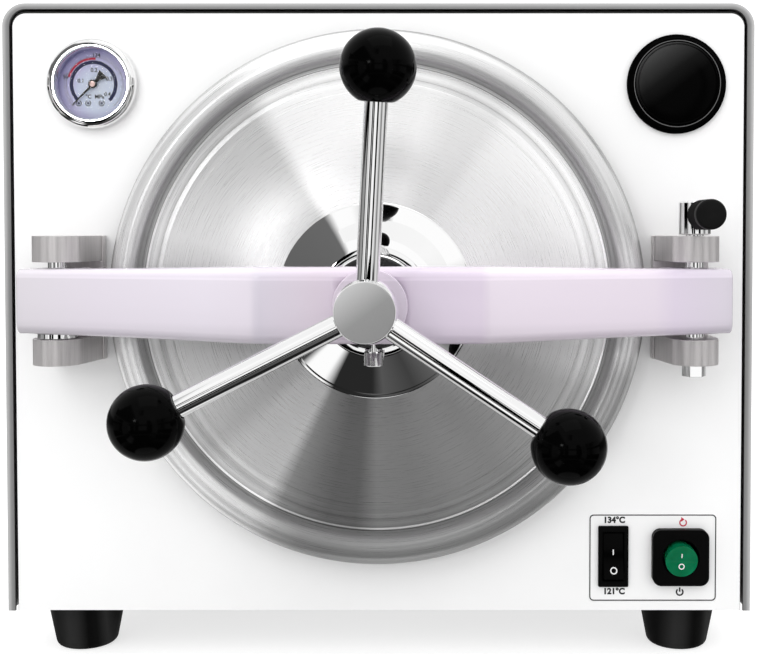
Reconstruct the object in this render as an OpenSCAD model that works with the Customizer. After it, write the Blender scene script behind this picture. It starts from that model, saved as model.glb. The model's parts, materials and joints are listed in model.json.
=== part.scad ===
// Benchtop steam autoclave: a painted cabinet around a horizontal pressure chamber.
// A swinging beam carries the lid, and a three-ball screw handle presses the lid on its seal.
// Frame: +Z up, front face towards -Y, origin on the bench under the middle of the footprint.

/* [Cabinet] */
// Overall width of the cover
cabinet_w = 420; // [410:1:440]
// Height of the cover, without the feet
cabinet_h = 342; // [338:1:360]
// Depth from the front panel's face to the rear panel's face
cabinet_d = 390; // [386:1:400]
// Outer radius of the cover's top corners
corner_r = 13; // [10:1:18]
// Thickness of the painted sheet steel
sheet = 1.5; // [1:0.1:2]
// Width of the cover's turned-in front and rear lips
lip_w = 4; // [3:0.5:6]
// Height of the lip above the front panel
lip_top = 3.2; // [3:0.1:6]
// Gap between a lip and the panel inside it
lip_gap = 1.3; // [0.5:0.1:1.5]
// Height of the rubber feet
foot_h = 28; // [24:1:36]
// Distance of each foot's centre from the middle plane
foot_x = 174.5; // [160:0.5:178]

/* [Chamber and lid] */
// Height of the chamber's axis above the bench
axis_z = 206; // [204:1:208]
// Bore radius of the pressure chamber
chamber_r = 125; // [120:1:125]
// Wall thickness of the pressure chamber
chamber_wall = 2.5; // [2:0.5:3]
// Straight depth of the chamber behind the front panel
chamber_depth = 335; // [300:1:338]
// Outer radius of the lid
lid_r = 147.5; // [147:0.5:149]
// Thickness of the lid's sheet
lid_t = 3; // [2:0.5:3]
// Outer radius of the polished cone in the middle of the lid
cone_r = 52; // [48:1:56]

/* [Beam, hinge and latch] */
// Distance of the hinge pin and the latch pin from the middle plane
pin_x = 171; // [170:0.5:172]
// Distance of both pins in front of the front panel
pin_out = 30; // [30:0.5:32]
// Radius of both pins
pin_r = 5; // [4.5:0.5:5.5]
// Half the length of the beam
beam_half = 188.3; // [186:0.5:190]
// Half the height of the beam at its ends
beam_end_half_h = 17; // [16:0.5:18]
// Half the height of the beam at its middle
beam_mid_half_h = 19.2; // [18:0.1:20]
// Distance of the beam's front face in front of the panel, at its middle
beam_out = 82; // [81:0.5:84]
// Travel of the lid between sealed and free
lid_travel = 6; // [4:0.5:6]

/* [Screw handle] */
// Radius of the spindle
spindle_r = 9; // [8:0.5:10]
// Distance of the hub's face in front of the panel
hub_out = 128.5; // [127:0.5:130]
// Radius of each ball knob
ball_r = 17.5; // [15:0.5:20]
// Distance of each ball's centre from the spindle's axis
ball_reach = 111.4; // [105:0.1:120]
// Radius of each handle rod
rod_r = 5.5; // [4.5:0.5:6]
// Turn of the handle at rest, clockwise as seen from the front
handle_turn = 3.3; // [0:0.1:10]

/* [Controls] */
// Distance of the gauge's centre from the middle plane, to the left
gauge_x = 159.4; // [155:0.5:165]
// Distance of the timer's centre from the middle plane, to the right
timer_x = 166.5; // [160:0.5:168]
// Height of the gauge and the timer above the bench
dial_z = 325; // [322:0.5:327]
// Centre of the temperature switch, to the right
temp_x = 132.4; // [128:0.1:133]
// Centre of the power switch, to the right
power_x = 170; // [168:0.1:171]
// Height of both switches above the bench
switch_z = 59.1; // [58:0.1:61]
// Tilt of each rocker to either side of level
rocker_tilt = 9; // [6:1:10]

/* [Hidden] */
$fn = 96;
slack = 0.06;
panel_w = cabinet_w - 2 * (lip_w + lip_gap);
panel_h = cabinet_h - lip_top - lip_gap;
panel_r = corner_r - lip_w - lip_gap;
cover_proud = 1;
handle_reach = hub_out + ball_r;
rear_reach = cabinet_d + 15;
front_y = (handle_reach - rear_reach) / 2;
rear_y = front_y + cabinet_d;
base_top = foot_h + 1 + sheet;
mouth_r = 144;
mouth_out = 5;
shell_r = chamber_r + chamber_wall;
dish_rise = 25;
jacket_r = 150;
bead_r = 9.65;
bead_tube = lid_r - bead_r;
bead_out = 13.5;
collar_r = 25;
collar_out = 56;
collar_screw_out = 51.6;
cone_top = 46;
cone_foot = 36;
beam_back = collar_out + lid_travel + 1.5;
flange_r = 18.6;
lug_lo = 20.5;
lug_hi = 34.5;
boss_r = 13;
web_t = 6;
rod_root = 117;
label_w = 72.1;
label_h = 49.6;
label_t = 0.4;
port_end = 360;
gauge_r = 25;
timer_r = 27.6;
vent_w = 46;

// ---- Places and shared shapes ----

// Children sit with X to the right, Y up and Z out of the front panel, at (x, z) on the panel.
module at_front(x = 0, z = 0, out = 0) {
    translate([x, front_y - out, z]) rotate([90, 0, 0]) children();
}

// The same, on the chamber's axis.
module at_axis(out = 0) {
    at_front(0, axis_z, out) children();
}

// A hollow or solid round piece around the local Z axis.
module ring(r_out, r_in, from, to) {
    translate([0, 0, from]) difference() {
        cylinder(r = r_out, h = to - from);
        if (r_in > 0) translate([0, 0, -1]) cylinder(r = r_in, h = to - from + 2);
    }
}

// A flat outline with round top corners and a square foot, from y0 up to h.
module arch(w, h, r, y0 = 0) {
    translate([-w / 2, y0]) square([w, h - r - y0]);
    translate([r - w / 2, y0]) square([w - 2 * r, h - y0]);
    for (side = [-1, 1]) translate([side * (w / 2 - r), h - r]) circle(r);
}

// A flat rectangle with four round corners, centred.
module round_rect(w, h, r) {
    square([w - 2 * r, h], center = true);
    square([w, h - 2 * r], center = true);
    for (sx = [-1, 1], sy = [-1, 1]) translate([sx * (w / 2 - r), sy * (h / 2 - r)]) circle(r);
}

// A centred box standing on z = from.
module block(w, d, from, to) {
    translate([-w / 2, -d / 2, from]) cube([w, d, to - from]);
}

// Points of an arc around (cx, cy), from angle a0 to a1 in n steps.
function arc(cx, cy, r, a0, a1, n) =
    [for (i = [0:n]) let (a = a0 + (a1 - a0) * i / n) [cx + r * cos(a), cy + r * sin(a)]];

// A straight round bar between two points.
module bar(from, to, r) {
    v = to - from;
    translate(from)
        rotate([0, acos(v[2] / norm(v)), atan2(v[1], v[0])])
            cylinder(r = r, h = norm(v));
}

// A pipe or cable through a list of points, with a slightly larger ball at each bend.
module run(points, r) {
    for (i = [0:len(points) - 2]) bar(points[i], points[i + 1], r);
    if (len(points) > 2)
        for (i = [1:len(points) - 2]) translate(points[i]) sphere(r = r * 1.12);
}

// A place given by x, by height and by distance behind the front panel.
function inside(x, z, depth) = [x, front_y + depth, z];

// Depth of the chamber's dished end at a distance from its axis.
function dish_depth(r) = chamber_depth + dish_rise * (1 - pow(r / shell_r, 2));

// Centres of the four feet.
foot_places = [for (sx = [-1, 1], y = [front_y + 30, rear_y - 30]) [sx * foot_x, y]];

// Ports on the dished end, as [x, height above the axis].
gauge_port = [-45, 75];
valve_port = [40, 80];
exhaust_port = [60, -70];
heater_x = 35;
heater_drop = -108;
gland_places = [[-heater_x, heater_drop], [heater_x, heater_drop]];

// ---- Cabinet ----

module cover() {
    length = cabinet_d + 2 * cover_proud;
    color("silver")
    difference() {
        at_front(0, foot_h, -cabinet_d - cover_proud) linear_extrude(length)
            arch(cabinet_w, cabinet_h, corner_r);
        at_front(0, foot_h, -cabinet_d - cover_proud + sheet) linear_extrude(length - 2 * sheet)
            arch(cabinet_w - 2 * sheet, cabinet_h - sheet, corner_r - sheet, -1);
        at_front(0, foot_h, -cabinet_d - cover_proud - 1) linear_extrude(length + 2)
            arch(cabinet_w - 2 * lip_w, cabinet_h - lip_top, corner_r - lip_w, -1);
        for (spot = side_screws) translate([0, spot[0], spot[1]])
            rotate([0, 90, 0]) cylinder(r = 2.2, h = cabinet_w + 2, center = true);
    }
}

// The cover's side screws, as [y, z].
side_screws = [for (y = [front_y + 40, (front_y + rear_y) / 2, rear_y - 40]) [y, foot_h + 9]];

// A panel with a turned-back rim, its face at z = 0 and its rim behind it.
module panel_tray() {
    rim = 12;
    translate([0, 0, -sheet]) linear_extrude(sheet) arch(panel_w, panel_h, panel_r);
    translate([0, 0, -sheet - rim]) linear_extrude(rim) difference() {
        arch(panel_w, panel_h, panel_r);
        arch(panel_w - 2 * sheet, panel_h - sheet, panel_r - sheet, sheet);
    }
}

module front_panel() {
    color("white")
    difference() {
        at_front(0, foot_h) panel_tray();
        at_axis() cylinder(r = mouth_r + 1, h = 60, center = true);
        at_front(-gauge_x, dial_z) cylinder(r = 21.2, h = 8, center = true);
        at_front(timer_x, dial_z) cylinder(r = 24.2, h = 8, center = true);
        at_front(temp_x, switch_z) cube([14.2, 30.2, 8], center = true);
        at_front(power_x, switch_z) cube([22.2, 22.2, 8], center = true);
        for (spot = bolt_spots) at_front(spot[0], spot[1]) cylinder(r = 4.2, h = 8, center = true);
    }
}

// Rows of vent slots and the holes for the inlet, the outlet and the safety valve.
module rear_panel() {
    color("white")
    difference() {
        at_front(0, foot_h, -cabinet_d) mirror([0, 0, 1]) panel_tray();
        for (col = [-1, 0, 1], row = [0:5])
            at_front(110 + col * (vent_w + 12) - 50, 180 + row * 12, -cabinet_d)
                linear_extrude(10, center = true) round_rect(vent_w, 4, 1.9);
        at_front(valve_port[0], axis_z + valve_port[1], -cabinet_d)
            cylinder(r = 10, h = 10, center = true);
        at_front(outlet_x, outlet_z, -cabinet_d) cylinder(r = 6.2, h = 10, center = true);
        at_front(inlet_x, inlet_z, -cabinet_d) cube([27.6, 20.2, 10], center = true);
        for (spot = rear_screws) at_front(spot[0], spot[1], -cabinet_d)
            cylinder(r = 2.2, h = 10, center = true);
    }
}

outlet_x = 150;
outlet_z = 52;
inlet_x = -150;
inlet_z = 75;
rear_screws = [for (sx = [-1, 1], z = [foot_h + 20, foot_h + 165, foot_h + 310]) [sx * 192, z]];

module base_plate() {
    width = cabinet_w - 2 * sheet - 1;
    depth = cabinet_d - 30;
    color("silver")
    difference() {
        union() {
            translate([-width / 2, front_y + 15, foot_h]) cube([width, depth, 1 + sheet]);
            for (side = [-1, 1]) translate([side * (width / 2 - sheet / 2), front_y + 15 + depth / 2, foot_h + 9])
                cube([sheet, depth, 18], center = true);
        }
        for (spot = foot_places) translate([spot[0], spot[1], 0]) cylinder(r = 3.2, h = 60);
        for (spot = side_screws) translate([0, spot[0], spot[1]])
            rotate([0, 90, 0]) cylinder(r = 2.2, h = cabinet_w, center = true);
    }
}

// Round feet that narrow towards the bench, with a recess for the screw.
module rubber_feet() {
    color([0.08, 0.08, 0.08])
    for (spot = foot_places) translate([spot[0], spot[1], 0]) difference() {
        rotate_extrude() polygon(concat(
            [[0, 0]],
            arc(13.8, 4, 4, -90, -12, 8),
            [[22.3, foot_h - 2], [22.3, foot_h], [0, foot_h]]));
        translate([0, 0, -1]) cylinder(r = 7, h = 13);
        cylinder(r = 3.2, h = foot_h + 1);
    }
}

module foot_screws() {
    color("silver")
    for (spot = foot_places) translate([spot[0], spot[1], 8]) {
        cylinder(r = 5.5, h = 4);
        cylinder(r = 3, h = foot_h + 2);
        translate([0, 0, base_top - 8]) cylinder(r = 6, h = 5, $fn = 6);
    }
}

module pan_screw() {
    cylinder(r = 2, h = 7);
    translate([0, 0, 5]) difference() {
        cylinder(r1 = 4, r2 = 3, h = 2.2);
        for (turn = [0, 90]) rotate([0, 0, turn]) block(4.4, 0.9, 1.2, 3);
    }
}

module cabinet_screws() {
    color("silver") {
        for (spot = side_screws, side = [-1, 1])
            translate([side * (cabinet_w / 2 - 5), spot[0], spot[1]]) rotate([0, side * 90, 0]) pan_screw();
        for (spot = rear_screws)
            translate([spot[0], rear_y - 5, spot[1]]) rotate([-90, 0, 0]) pan_screw();
    }
}

// ---- Pressure chamber ----

// The space inside the chamber, or its outside, as one solid with a dished end.
module chamber_form(r, grow) {
    height = dish_rise + grow;
    ball = (r * r + height * height) / (2 * height);
    ring(r, 0, -chamber_depth, mouth_out + (grow > 0 ? 0 : 1));
    intersection() {
        translate([0, 0, ball - chamber_depth - height]) sphere(r = ball, $fn = 180);
        ring(r, 0, -chamber_depth - height - 1, -chamber_depth + 1);
    }
}

module chamber_shell() {
    color("gainsboro")
    at_axis() difference() {
        union() {
            chamber_form(shell_r, chamber_wall);
            for (port = [gauge_port, valve_port, exhaust_port])
                translate(port) ring(8, 0, -port_end, -chamber_depth - 5);
            for (port = gland_places) translate(port) ring(8, 0, -port_end, -chamber_depth);
        }
        chamber_form(chamber_r, 0);
        for (port = [gauge_port, valve_port, exhaust_port])
            translate(port) ring(3, 0, -port_end - 1, -chamber_depth);
        for (port = gland_places) translate(port) ring(4.6, 0, -port_end - 1, -chamber_depth + 2);
    }
}

// The machined ring that the lid seals on, with ears that tie it to the hinge and latch brackets.
module mouth_frame() {
    color("gainsboro")
    difference() {
        union() {
            at_axis() ring(mouth_r, 0, -8, mouth_out);
            at_axis() difference() {
                block(2 * 190, 84, -7.5, -sheet - slack);
                ring(mouth_r - 2, 0, -9, 1);
            }
        }
        at_axis() ring(shell_r + slack, 0, -9, mouth_out + 1);
        for (spot = bolt_spots) at_front(spot[0], spot[1], -9) cylinder(r = 4.2, h = 9);
    }
}

module chamber_insulation() {
    color("khaki")
    at_axis() ring(jacket_r, shell_r + 0.3, -chamber_depth + 2, -14);
}

module insulation_straps() {
    color("silver")
    for (depth = [120, 240]) at_axis(-depth) {
        ring(jacket_r + 0.9, jacket_r + 0.1, -7, 7);
        rotate([0, 0, 45]) translate([jacket_r + 4.5, 0, 0]) cube([8, 16, 14], center = true);
    }
}

// Two cradle plates that carry the jacket on the base.
module chamber_saddles() {
    color("silver")
    for (depth = [70, 300]) difference() {
        translate([-110, front_y + depth - 1, base_top]) {
            cube([220, 2, 62]);
            translate([0, 2, 0]) cube([220, 16, 2]);
        }
        at_axis(-depth - 30) cylinder(r = jacket_r + 0.3, h = 60);
    }
}

// A long U of sheathed element low in the chamber, its legs leaving through the dished end.
module heating_element() {
    front_end = 60;
    color("dimgray")
    at_axis() translate([0, heater_drop, 0]) {
        for (side = [-1, 1]) translate([side * heater_x, 0, 0]) ring(4.5, 0, -378, -front_end);
        translate([0, 0, -front_end]) rotate([-90, 0, 0])
            rotate([0, 0, 180]) rotate_extrude(angle = 180) translate([heater_x, 0]) circle(4.5);
    }
}

// A drilled plate that keeps instruments off the element.
module heater_guard() {
    color("gainsboro")
    at_axis() difference() {
        translate([-77, -97, -320]) cube([154, 1.5, 290]);
        for (col = [-2:2], row = [0:6]) translate([col * 28, -96, -55 - row * 40])
            rotate([90, 0, 0]) cylinder(r = 6, h = 6, center = true);
    }
}

shelf_heights = [-78, -28, 22];
rack_x = 84;

// Two slotted side plates with three pairs of shelf rails, joined by tie bars.
module tray_rack() {
    color("gainsboro")
    at_axis() {
        for (side = [-1, 1]) translate([side * rack_x, 0, 0]) {
            difference() {
                translate([-0.6, -91, -325]) cube([1.2, 161, 300]);
                for (bay = [0:2], shelf = shelf_heights)
                    translate([-3, shelf + 16, -305 + bay * 93]) cube([6, 26, 72]);
            }
            for (shelf = shelf_heights)
                translate([side > 0 ? -8 : 0, shelf - 1.2, -325]) cube([8, 1.2, 300]);
        }
        for (depth = [40, 310]) translate([0, 64, -depth]) rotate([0, 90, 0])
            cylinder(r = 3, h = 2 * rack_x, center = true);
    }
}

// Three perforated trays, one on each pair of rails.
module instrument_trays() {
    width = 164;
    length = 290;
    color("silver")
    at_axis() for (shelf = shelf_heights) translate([0, shelf, -320]) difference() {
        translate([-width / 2, 0.2, 0]) cube([width, 13, length]);
        translate([1 - width / 2, 1.2, 1]) cube([width - 2, 20, length - 2]);
        for (col = [-2:2], row = [0:4]) translate([col * 28, 0, 37 + row * 54])
            cube([10, 6, 34], center = true);
    }
}

// ---- Hinge and latch brackets ----

// Bracket bolts as [x, z], two to each bracket.
bolt_spots = [for (side = [-1, 1], up = [-1, 1]) [side * 168, axis_z + up * 26]];

// Plan of one lug on the right: a round boss at the pin, tapering back to the panel.
module lug_plan() {
    foot = pin_x - 18;
    away = [foot - pin_x, -pin_out];
    lean = atan2(away[1], away[0]) - acos(boss_r / norm(away));
    translate([pin_x, pin_out]) circle(boss_r);
    polygon([
        [pin_x + boss_r, pin_out], [pin_x + boss_r, 0], [foot, 0],
        [pin_x + boss_r * cos(lean), pin_out + boss_r * sin(lean)], [pin_x, pin_out]
    ]);
}

// A base web on the panel with a lug above and below the beam's end.
module bracket(bore) {
    difference() {
        union() {
            for (low = [lug_lo, -lug_hi]) translate([0, 0, axis_z + low])
                linear_extrude(lug_hi - lug_lo) lug_at_panel();
            translate([pin_x - 18, front_y - web_t, axis_z - lug_hi])
                cube([18 + boss_r, web_t, 2 * lug_hi]);
        }
        translate([pin_x, front_y - pin_out, 0]) cylinder(r = bore, h = 2 * axis_z);
        for (up = [-1, 1]) at_front(168, axis_z + up * 26, -1) cylinder(r = 4 + slack, h = 11);
    }
}

module lug_at_panel() {
    translate([0, front_y]) mirror([0, 1]) lug_plan();
}

module hinge_bracket() {
    color("gainsboro") mirror([1, 0, 0]) bracket(pin_r + slack);
}

module latch_bracket() {
    color("gainsboro") bracket(pin_r + slack);
}

module bracket_bolts() {
    color("silver")
    for (spot = bolt_spots) at_front(spot[0], spot[1]) {
        ring(4, 0, -12, 9);
        translate([0, 0, -13]) cylinder(r = 7.5, h = 5.4, $fn = 6);
    }
}

module hinge_pin() {
    color("silver") translate([-pin_x, front_y - pin_out, axis_z - lug_hi + 1])
        cylinder(r = pin_r, h = 2 * lug_hi - 2);
}

module hinge_washer() {
    color("silver") translate([-pin_x, front_y - pin_out, axis_z - lug_lo + 0.1])
        ring(10.6, pin_r + 0.2, 0, lug_lo - beam_end_half_h - 0.6);
}

// ---- Pressure gauge ----

module gauge_case() {
    color("silver")
    at_front(-gauge_x, dial_z) {
        difference() {
            ring(21, 0, -30, 0.9);
            ring(20.2, 0, -28.5, 2);
        }
        translate([0, 0, -38]) cylinder(r = 7, h = 8, $fn = 6);
        ring(4.5, 0, -48, -38);
    }
}

// A rolled rim around the glass, resting on the panel.
module gauge_bezel() {
    color("silver")
    at_front(-gauge_x, dial_z) rotate_extrude() polygon(concat(
        [[21.1, 0], [gauge_r, 0]],
        arc(gauge_r - 3.2, 4.3, 3.2, 0, 150, 12),
        [[19.3, 4.2], [19.3, 1.4], [20.4, 1.4], [20.4, 1], [21.1, 1]]));
}

module gauge_dial() {
    color("lavender") at_front(-gauge_x, dial_z) ring(20, 0, -1, 0);
}

module gauge_lens() {
    color([0.8, 0.9, 1, 0.3]) at_front(-gauge_x, dial_z) ring(19.2, 0, 3, 4);
}

// A pointer with a counterweight; at rest it points at zero, down to the left.
module gauge_needle() {
    tip = 16.6;
    color("black")
    at_front(-gauge_x, dial_z) rotate([0, 0, 225]) {
        ring(2.1, 0, 0.4, 2.4);
        translate([0, 0, 1.2]) linear_extrude(0.5) {
            polygon([[0, 0.7], [tip, 0.15], [tip, -0.15], [0, -0.7]]);
            polygon([[0, 0.7], [-3.5, 0.9], [-8.2, 3], [-8.2, -3], [-3.5, -0.9], [0, -0.7]]);
        }
    }
}

// Capillary from the gauge along the cover's corner and round to the dished end.
module gauge_tube() {
    corner = cabinet_d - 16;
    color("darkgoldenrod")
    run([
        inside(-gauge_x, dial_z, 48),
        inside(-gauge_x, dial_z, corner),
        inside(gauge_port[0], axis_z + gauge_port[1], corner),
        inside(gauge_port[0], axis_z + gauge_port[1], port_end)
    ], 2.5);
}

// ---- Timer ----

module timer_case() {
    color([0.06, 0.06, 0.06])
    at_front(timer_x, dial_z) {
        difference() {
            union() {
                ring(timer_r, 0, 0, 3);
                ring(25.6, 0, 3, 4.2);
                ring(24, 0, -42, 0);
            }
            ring(23.3, 0, 0.6, 6);
            ring(3.1, 0, -10, 3);
        }
    }
}

// A low round knob on its own stem.
module timer_knob() {
    color("black")
    at_front(timer_x, dial_z) {
        difference() {
            ring(23, 0, 0.8, 5.2);
            ring(22.3, 21.6, 3.6, 6);
        }
        ring(3, 0, -9, 0.8);
    }
}

// ---- Switches ----

module switch_label() {
    centre = (temp_x + power_x) / 2 + 3.7;
    color("whitesmoke")
    difference() {
        at_front(centre, switch_z - 1) linear_extrude(label_t) round_rect(label_w, label_h, 2.5);
        at_front(temp_x, switch_z, -1) block(14.4, 30.4, 0, 3);
        at_front(power_x, switch_z, -1) block(22.4, 22.4, 0, 3);
    }
}

module temperature_switch_case() {
    color([0.05, 0.05, 0.05])
    at_front(temp_x, switch_z) difference() {
        union() {
            translate([0, 0, label_t]) linear_extrude(2) round_rect(17, 34.6, 0.8);
            block(14, 30, -22, label_t);
        }
        block(12.2, 27.8, -9, 4);
    }
}

// Side view of a rocker: a shallow V on the front and a half-round pivot behind, from -half to half.
module rocker_side(half, crest, dip) {
    polygon([[-half, crest], [-half, -0.5], [half, -0.5], [half, crest], [0, dip]]);
    difference() {
        circle(5);
        translate([-6, 0]) square(12);
    }
}

// Tilted with its upper half pressed in.
module temperature_rocker() {
    color([0.05, 0.05, 0.05])
    at_front(temp_x, switch_z) rotate([-rocker_tilt, 0, 0]) rotate([90, 0, 90])
        linear_extrude(11.6, center = true) rocker_side(12.9, 3.1, 1.6);
}

module power_switch_case() {
    color([0.05, 0.05, 0.05])
    at_front(power_x, switch_z) difference() {
        union() {
            translate([0, 0, label_t]) linear_extrude(5) round_rect(31.8, 31.8, 5);
            block(22, 22, -24, label_t);
        }
        ring(10.3, 0, -8, 8);
    }
}

// A round rocker, tilted with its lower half pressed in.
module power_rocker() {
    color("green")
    at_front(power_x, switch_z) rotate([rocker_tilt, 0, 0]) intersection() {
        ring(9, 0, -6, 12);
        rotate([90, 0, 90]) linear_extrude(20, center = true) rocker_side(10, 8, 7);
    }
}

// ---- Plumbing and wiring behind the panels ----

module pressure_controllers() {
    color("darkslategray")
    for (depth = [130, 190]) translate(inside(-165, base_top, depth)) {
        block(44, 36, 0, 30);
        translate([0, 0, 30]) cylinder(r = 12, h = 6);
        translate([0, 0, 36]) cylinder(r = 4, h = 8);
    }
}

module exhaust_valve() {
    color("darkgoldenrod")
    translate(inside(outlet_x, base_top, 300)) difference() {
        union() {
            block(34, 44, 0, 50);
            translate([0, 0, 50]) cylinder(r = 13, h = 22);
        }
        translate([0, 0, outlet_z - base_top]) rotate([-90, 0, 0]) cylinder(r = 4.1, h = 40);
    }
}

module exhaust_pipe() {
    turn = cabinet_d - 16;
    top = axis_z + exhaust_port[1];
    color("peru") {
        run([
            inside(exhaust_port[0], top, port_end),
            inside(exhaust_port[0], top, turn),
            inside(outlet_x, outlet_z + 24, turn),
            inside(outlet_x, outlet_z + 24, 322)
        ], 4);
        bar(inside(outlet_x, outlet_z, 305), inside(outlet_x, outlet_z, cabinet_d - 12), 4);
    }
}

// The outlet that a hose goes on, held in the rear panel.
module drain_spigot() {
    color("silver")
    at_front(outlet_x, outlet_z, -cabinet_d) {
        ring(6, 4.1, -1, 12);
        translate([0, 0, -3]) cylinder(r = 9, h = 3, $fn = 6);
        ring(5, 3.2, cabinet_d - rear_reach, -3);
    }
}

module safety_valve() {
    color("darkgoldenrod")
    at_front(valve_port[0], axis_z + valve_port[1]) difference() {
        union() {
            ring(8.5, 0, -rear_reach + 6, -port_end);
            translate([0, 0, -372]) cylinder(r = 11, h = 8, $fn = 6);
        }
        ring(2 + slack, 0, -rear_reach - 1, -rear_reach + 20);
    }
}

// The stem and pull ring that lift the safety valve by hand.
module safety_valve_ring() {
    color("silver")
    at_front(valve_port[0], axis_z + valve_port[1]) {
        ring(2, 0, -rear_reach + 2, -rear_reach + 16);
        translate([0, -6, -rear_reach + 3.5]) rotate([0, 0, 90]) rotate_extrude()
            translate([8.5, 0]) circle(1.5, $fn = 24);
    }
}

module terminal_block() {
    color("ivory")
    translate(inside(160, base_top, 150)) difference() {
        block(60, 22, 0, 16);
        for (way = [-2:2]) translate([way * 11, 0, 0]) block(7, 12, 9, 20);
    }
}

// An appliance inlet with three contact pins, for a separate mains lead.
module power_inlet() {
    color([0.08, 0.08, 0.08])
    at_front(inlet_x, inlet_z, -cabinet_d) mirror([0, 0, 1]) {
        difference() {
            union() {
                block(27.4, 20, -26, 0);
                linear_extrude(2.5) round_rect(50, 23, 3);
            }
            block(24, 16.4, -14, 4);
        }
        for (spot = [[-7, -2], [0, 3], [7, -2]]) translate(spot) block(2, 4, -14.5, -1);
    }
}

// Two bundles: inlet to terminal block, and terminal block to the switches.
module wiring_harness() {
    low = base_top + 4;
    color([0.15, 0.15, 0.15]) {
        run([
            inside(inlet_x, inlet_z, cabinet_d - 28.8), inside(inlet_x, low, cabinet_d - 36.5),
            inside(inlet_x + 30, low, 230), inside(90, low, 230), inside(124, low, 156)
        ], 2.6);
        run([
            inside(190, low + 16, 138), inside(190, low + 16, 40),
            inside(power_x, switch_z, 26.6)
        ], 2.2);
        run([
            inside(142, low + 22, 138), inside(142, low + 22, 60),
            inside(temp_x, switch_z, 24.6)
        ], 2.2);
    }
}

// ---- Latch ----

// Round in the lugs and flattened inside the beam, so that the beam's keyhole passes when the flats face it.
module latch_pin() {
    flat = 5;
    top = axis_z + lug_hi + 12;
    low = axis_z - lug_hi - 5;
    color("silver")
    translate([pin_x, front_y - pin_out, 0]) difference() {
        translate([0, 0, low]) cylinder(r = pin_r, h = top - low);
        for (side = [-1, 1])
            translate([side * (flat / 2 + pin_r) - pin_r, -pin_r - 1, axis_z - beam_end_half_h - 0.6])
                cube([2 * pin_r, 2 * pin_r + 2, 2 * beam_end_half_h + 1.2]);
    }
}

// The turned head above the upper lug, with its forward lever.
module latch_head() {
    base = axis_z + lug_hi + 0.5;
    color("silver")
    translate([pin_x, front_y - pin_out, base]) difference() {
        union() {
            cylinder(r = 8.6, h = 18);
            translate([0, 0, 10.5]) rotate([90, 0, 0]) cylinder(r = 3.5, h = 33.5);
        }
        translate([0, 0, -1]) cylinder(r = pin_r + 0.02, h = 12.6);
    }
}

module latch_grip() {
    color([0.08, 0.08, 0.08])
    translate([pin_x, front_y - pin_out - 16.5, axis_z + lug_hi + 11]) rotate([90, 0, 0]) difference() {
        cylinder(r = 7.8, h = 23.5);
        translate([0, 0, -1]) cylinder(r = 3.52, h = 18.5);
    }
}

module latch_nut() {
    color("silver")
    translate([pin_x, front_y - pin_out, axis_z - lug_hi - 6.5]) difference() {
        cylinder(r = 6.4, h = 6, $fn = 6);
        translate([0, 0, 1]) cylinder(r = pin_r + 0.02, h = 8);
    }
}

// ---- Beam ----

// Plan of the beam seen from above, as [x, distance in front of the panel].
module beam_plan() {
    bend = 57;
    end_face = 45;
    end_back = pin_out - 13.5;
    heel = 158;
    half = [
        [bend, beam_out], [beam_half - 4, end_face + 1.1], [beam_half, end_face - 3],
        [beam_half, end_back + 4], [beam_half - 4, end_back], [heel, end_back],
        [heel - 7, end_back + 17], [bend - 12, beam_back]
    ];
    polygon(concat(half, [for (i = [len(half) - 1:-1:0]) [-half[i][0], half[i][1]]]));
}

// Elevation of the beam: slightly taller in the middle.
module beam_side() {
    half = [
        [beam_half + 1, beam_end_half_h], [130, beam_end_half_h + 0.6], [60, beam_mid_half_h],
        [-60, beam_mid_half_h], [-130, beam_end_half_h + 0.6], [-beam_half - 1, beam_end_half_h]
    ];
    polygon(concat(half, [for (i = [len(half) - 1:-1:0]) [half[i][0], -half[i][1]]]));
}

module beam() {
    throat = 7.5;
    color("thistle")
    difference() {
        intersection() {
            translate([0, front_y, axis_z - 30]) mirror([0, 1, 0]) linear_extrude(60) beam_plan();
            at_axis() linear_extrude(120) beam_side();
        }
        at_axis(40) cylinder(r = 15 + slack, h = 60);
        translate([-pin_x, front_y - pin_out, axis_z - 30]) cylinder(r = pin_r + slack, h = 60);
        translate([pin_x, front_y - pin_out, axis_z - 30]) cylinder(r = pin_r + 0.15, h = 60);
        translate([pin_x - throat / 2, front_y - pin_out, axis_z - 30]) cube([throat, 30, 60]);
    }
}

// The threaded bush in the middle of the beam, with its flange on the front face.
module beam_nut() {
    color("silver")
    at_axis() difference() {
        union() {
            ring(15, 0, beam_back + 0.5, beam_out);
            ring(flange_r, 0, beam_out, beam_out + 6);
        }
        ring(spindle_r + slack, 0, 50, 100);
    }
}

// ---- Lid ----

// A pressed disc: a round bead over the seal, a step, then a shallow cone up to the middle.
module lid_disc() {
    crown = cone_foot - 1;
    color("gainsboro")
    at_axis() rotate_extrude($fn = 180) polygon(concat(
        [[0, crown - lid_t], [0, crown], [cone_r + 4, crown], [119, 21.5], [126.5, 19.5]],
        arc(bead_tube, bead_out, bead_r, 155, 0, 20),
        [[lid_r, mouth_out + 1], [lid_r - lid_t, mouth_out + 1]],
        arc(bead_tube, bead_out, bead_r - lid_t, 0, 150, 16),
        [[119, 21.5 - lid_t], [cone_r + 4, crown - lid_t]]));
}

// Silicone ring held in the bead, with its face just on the mouth.
module lid_gasket() {
    color("lightgray")
    at_axis() rotate_extrude($fn = 180) polygon(concat(
        [[133, mouth_out + 0.2], [142, mouth_out + 0.2], [143.6, 8]],
        arc(bead_tube, bead_out - 0.1, bead_r - lid_t - 0.3, 0, 150, 12),
        [[131.5, 12]]));
}

// The mirror-polished cone over the lid's thrust boss.
module lid_cone() {
    color("silver")
    at_axis() rotate_extrude($fn = 180) polygon([
        [cone_r, cone_foot - 1], [cone_r, cone_foot], [collar_r + 2, cone_top],
        [collar_r + 0.2, cone_top], [collar_r + 0.2, cone_foot - 1]
    ]);
}

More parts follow.
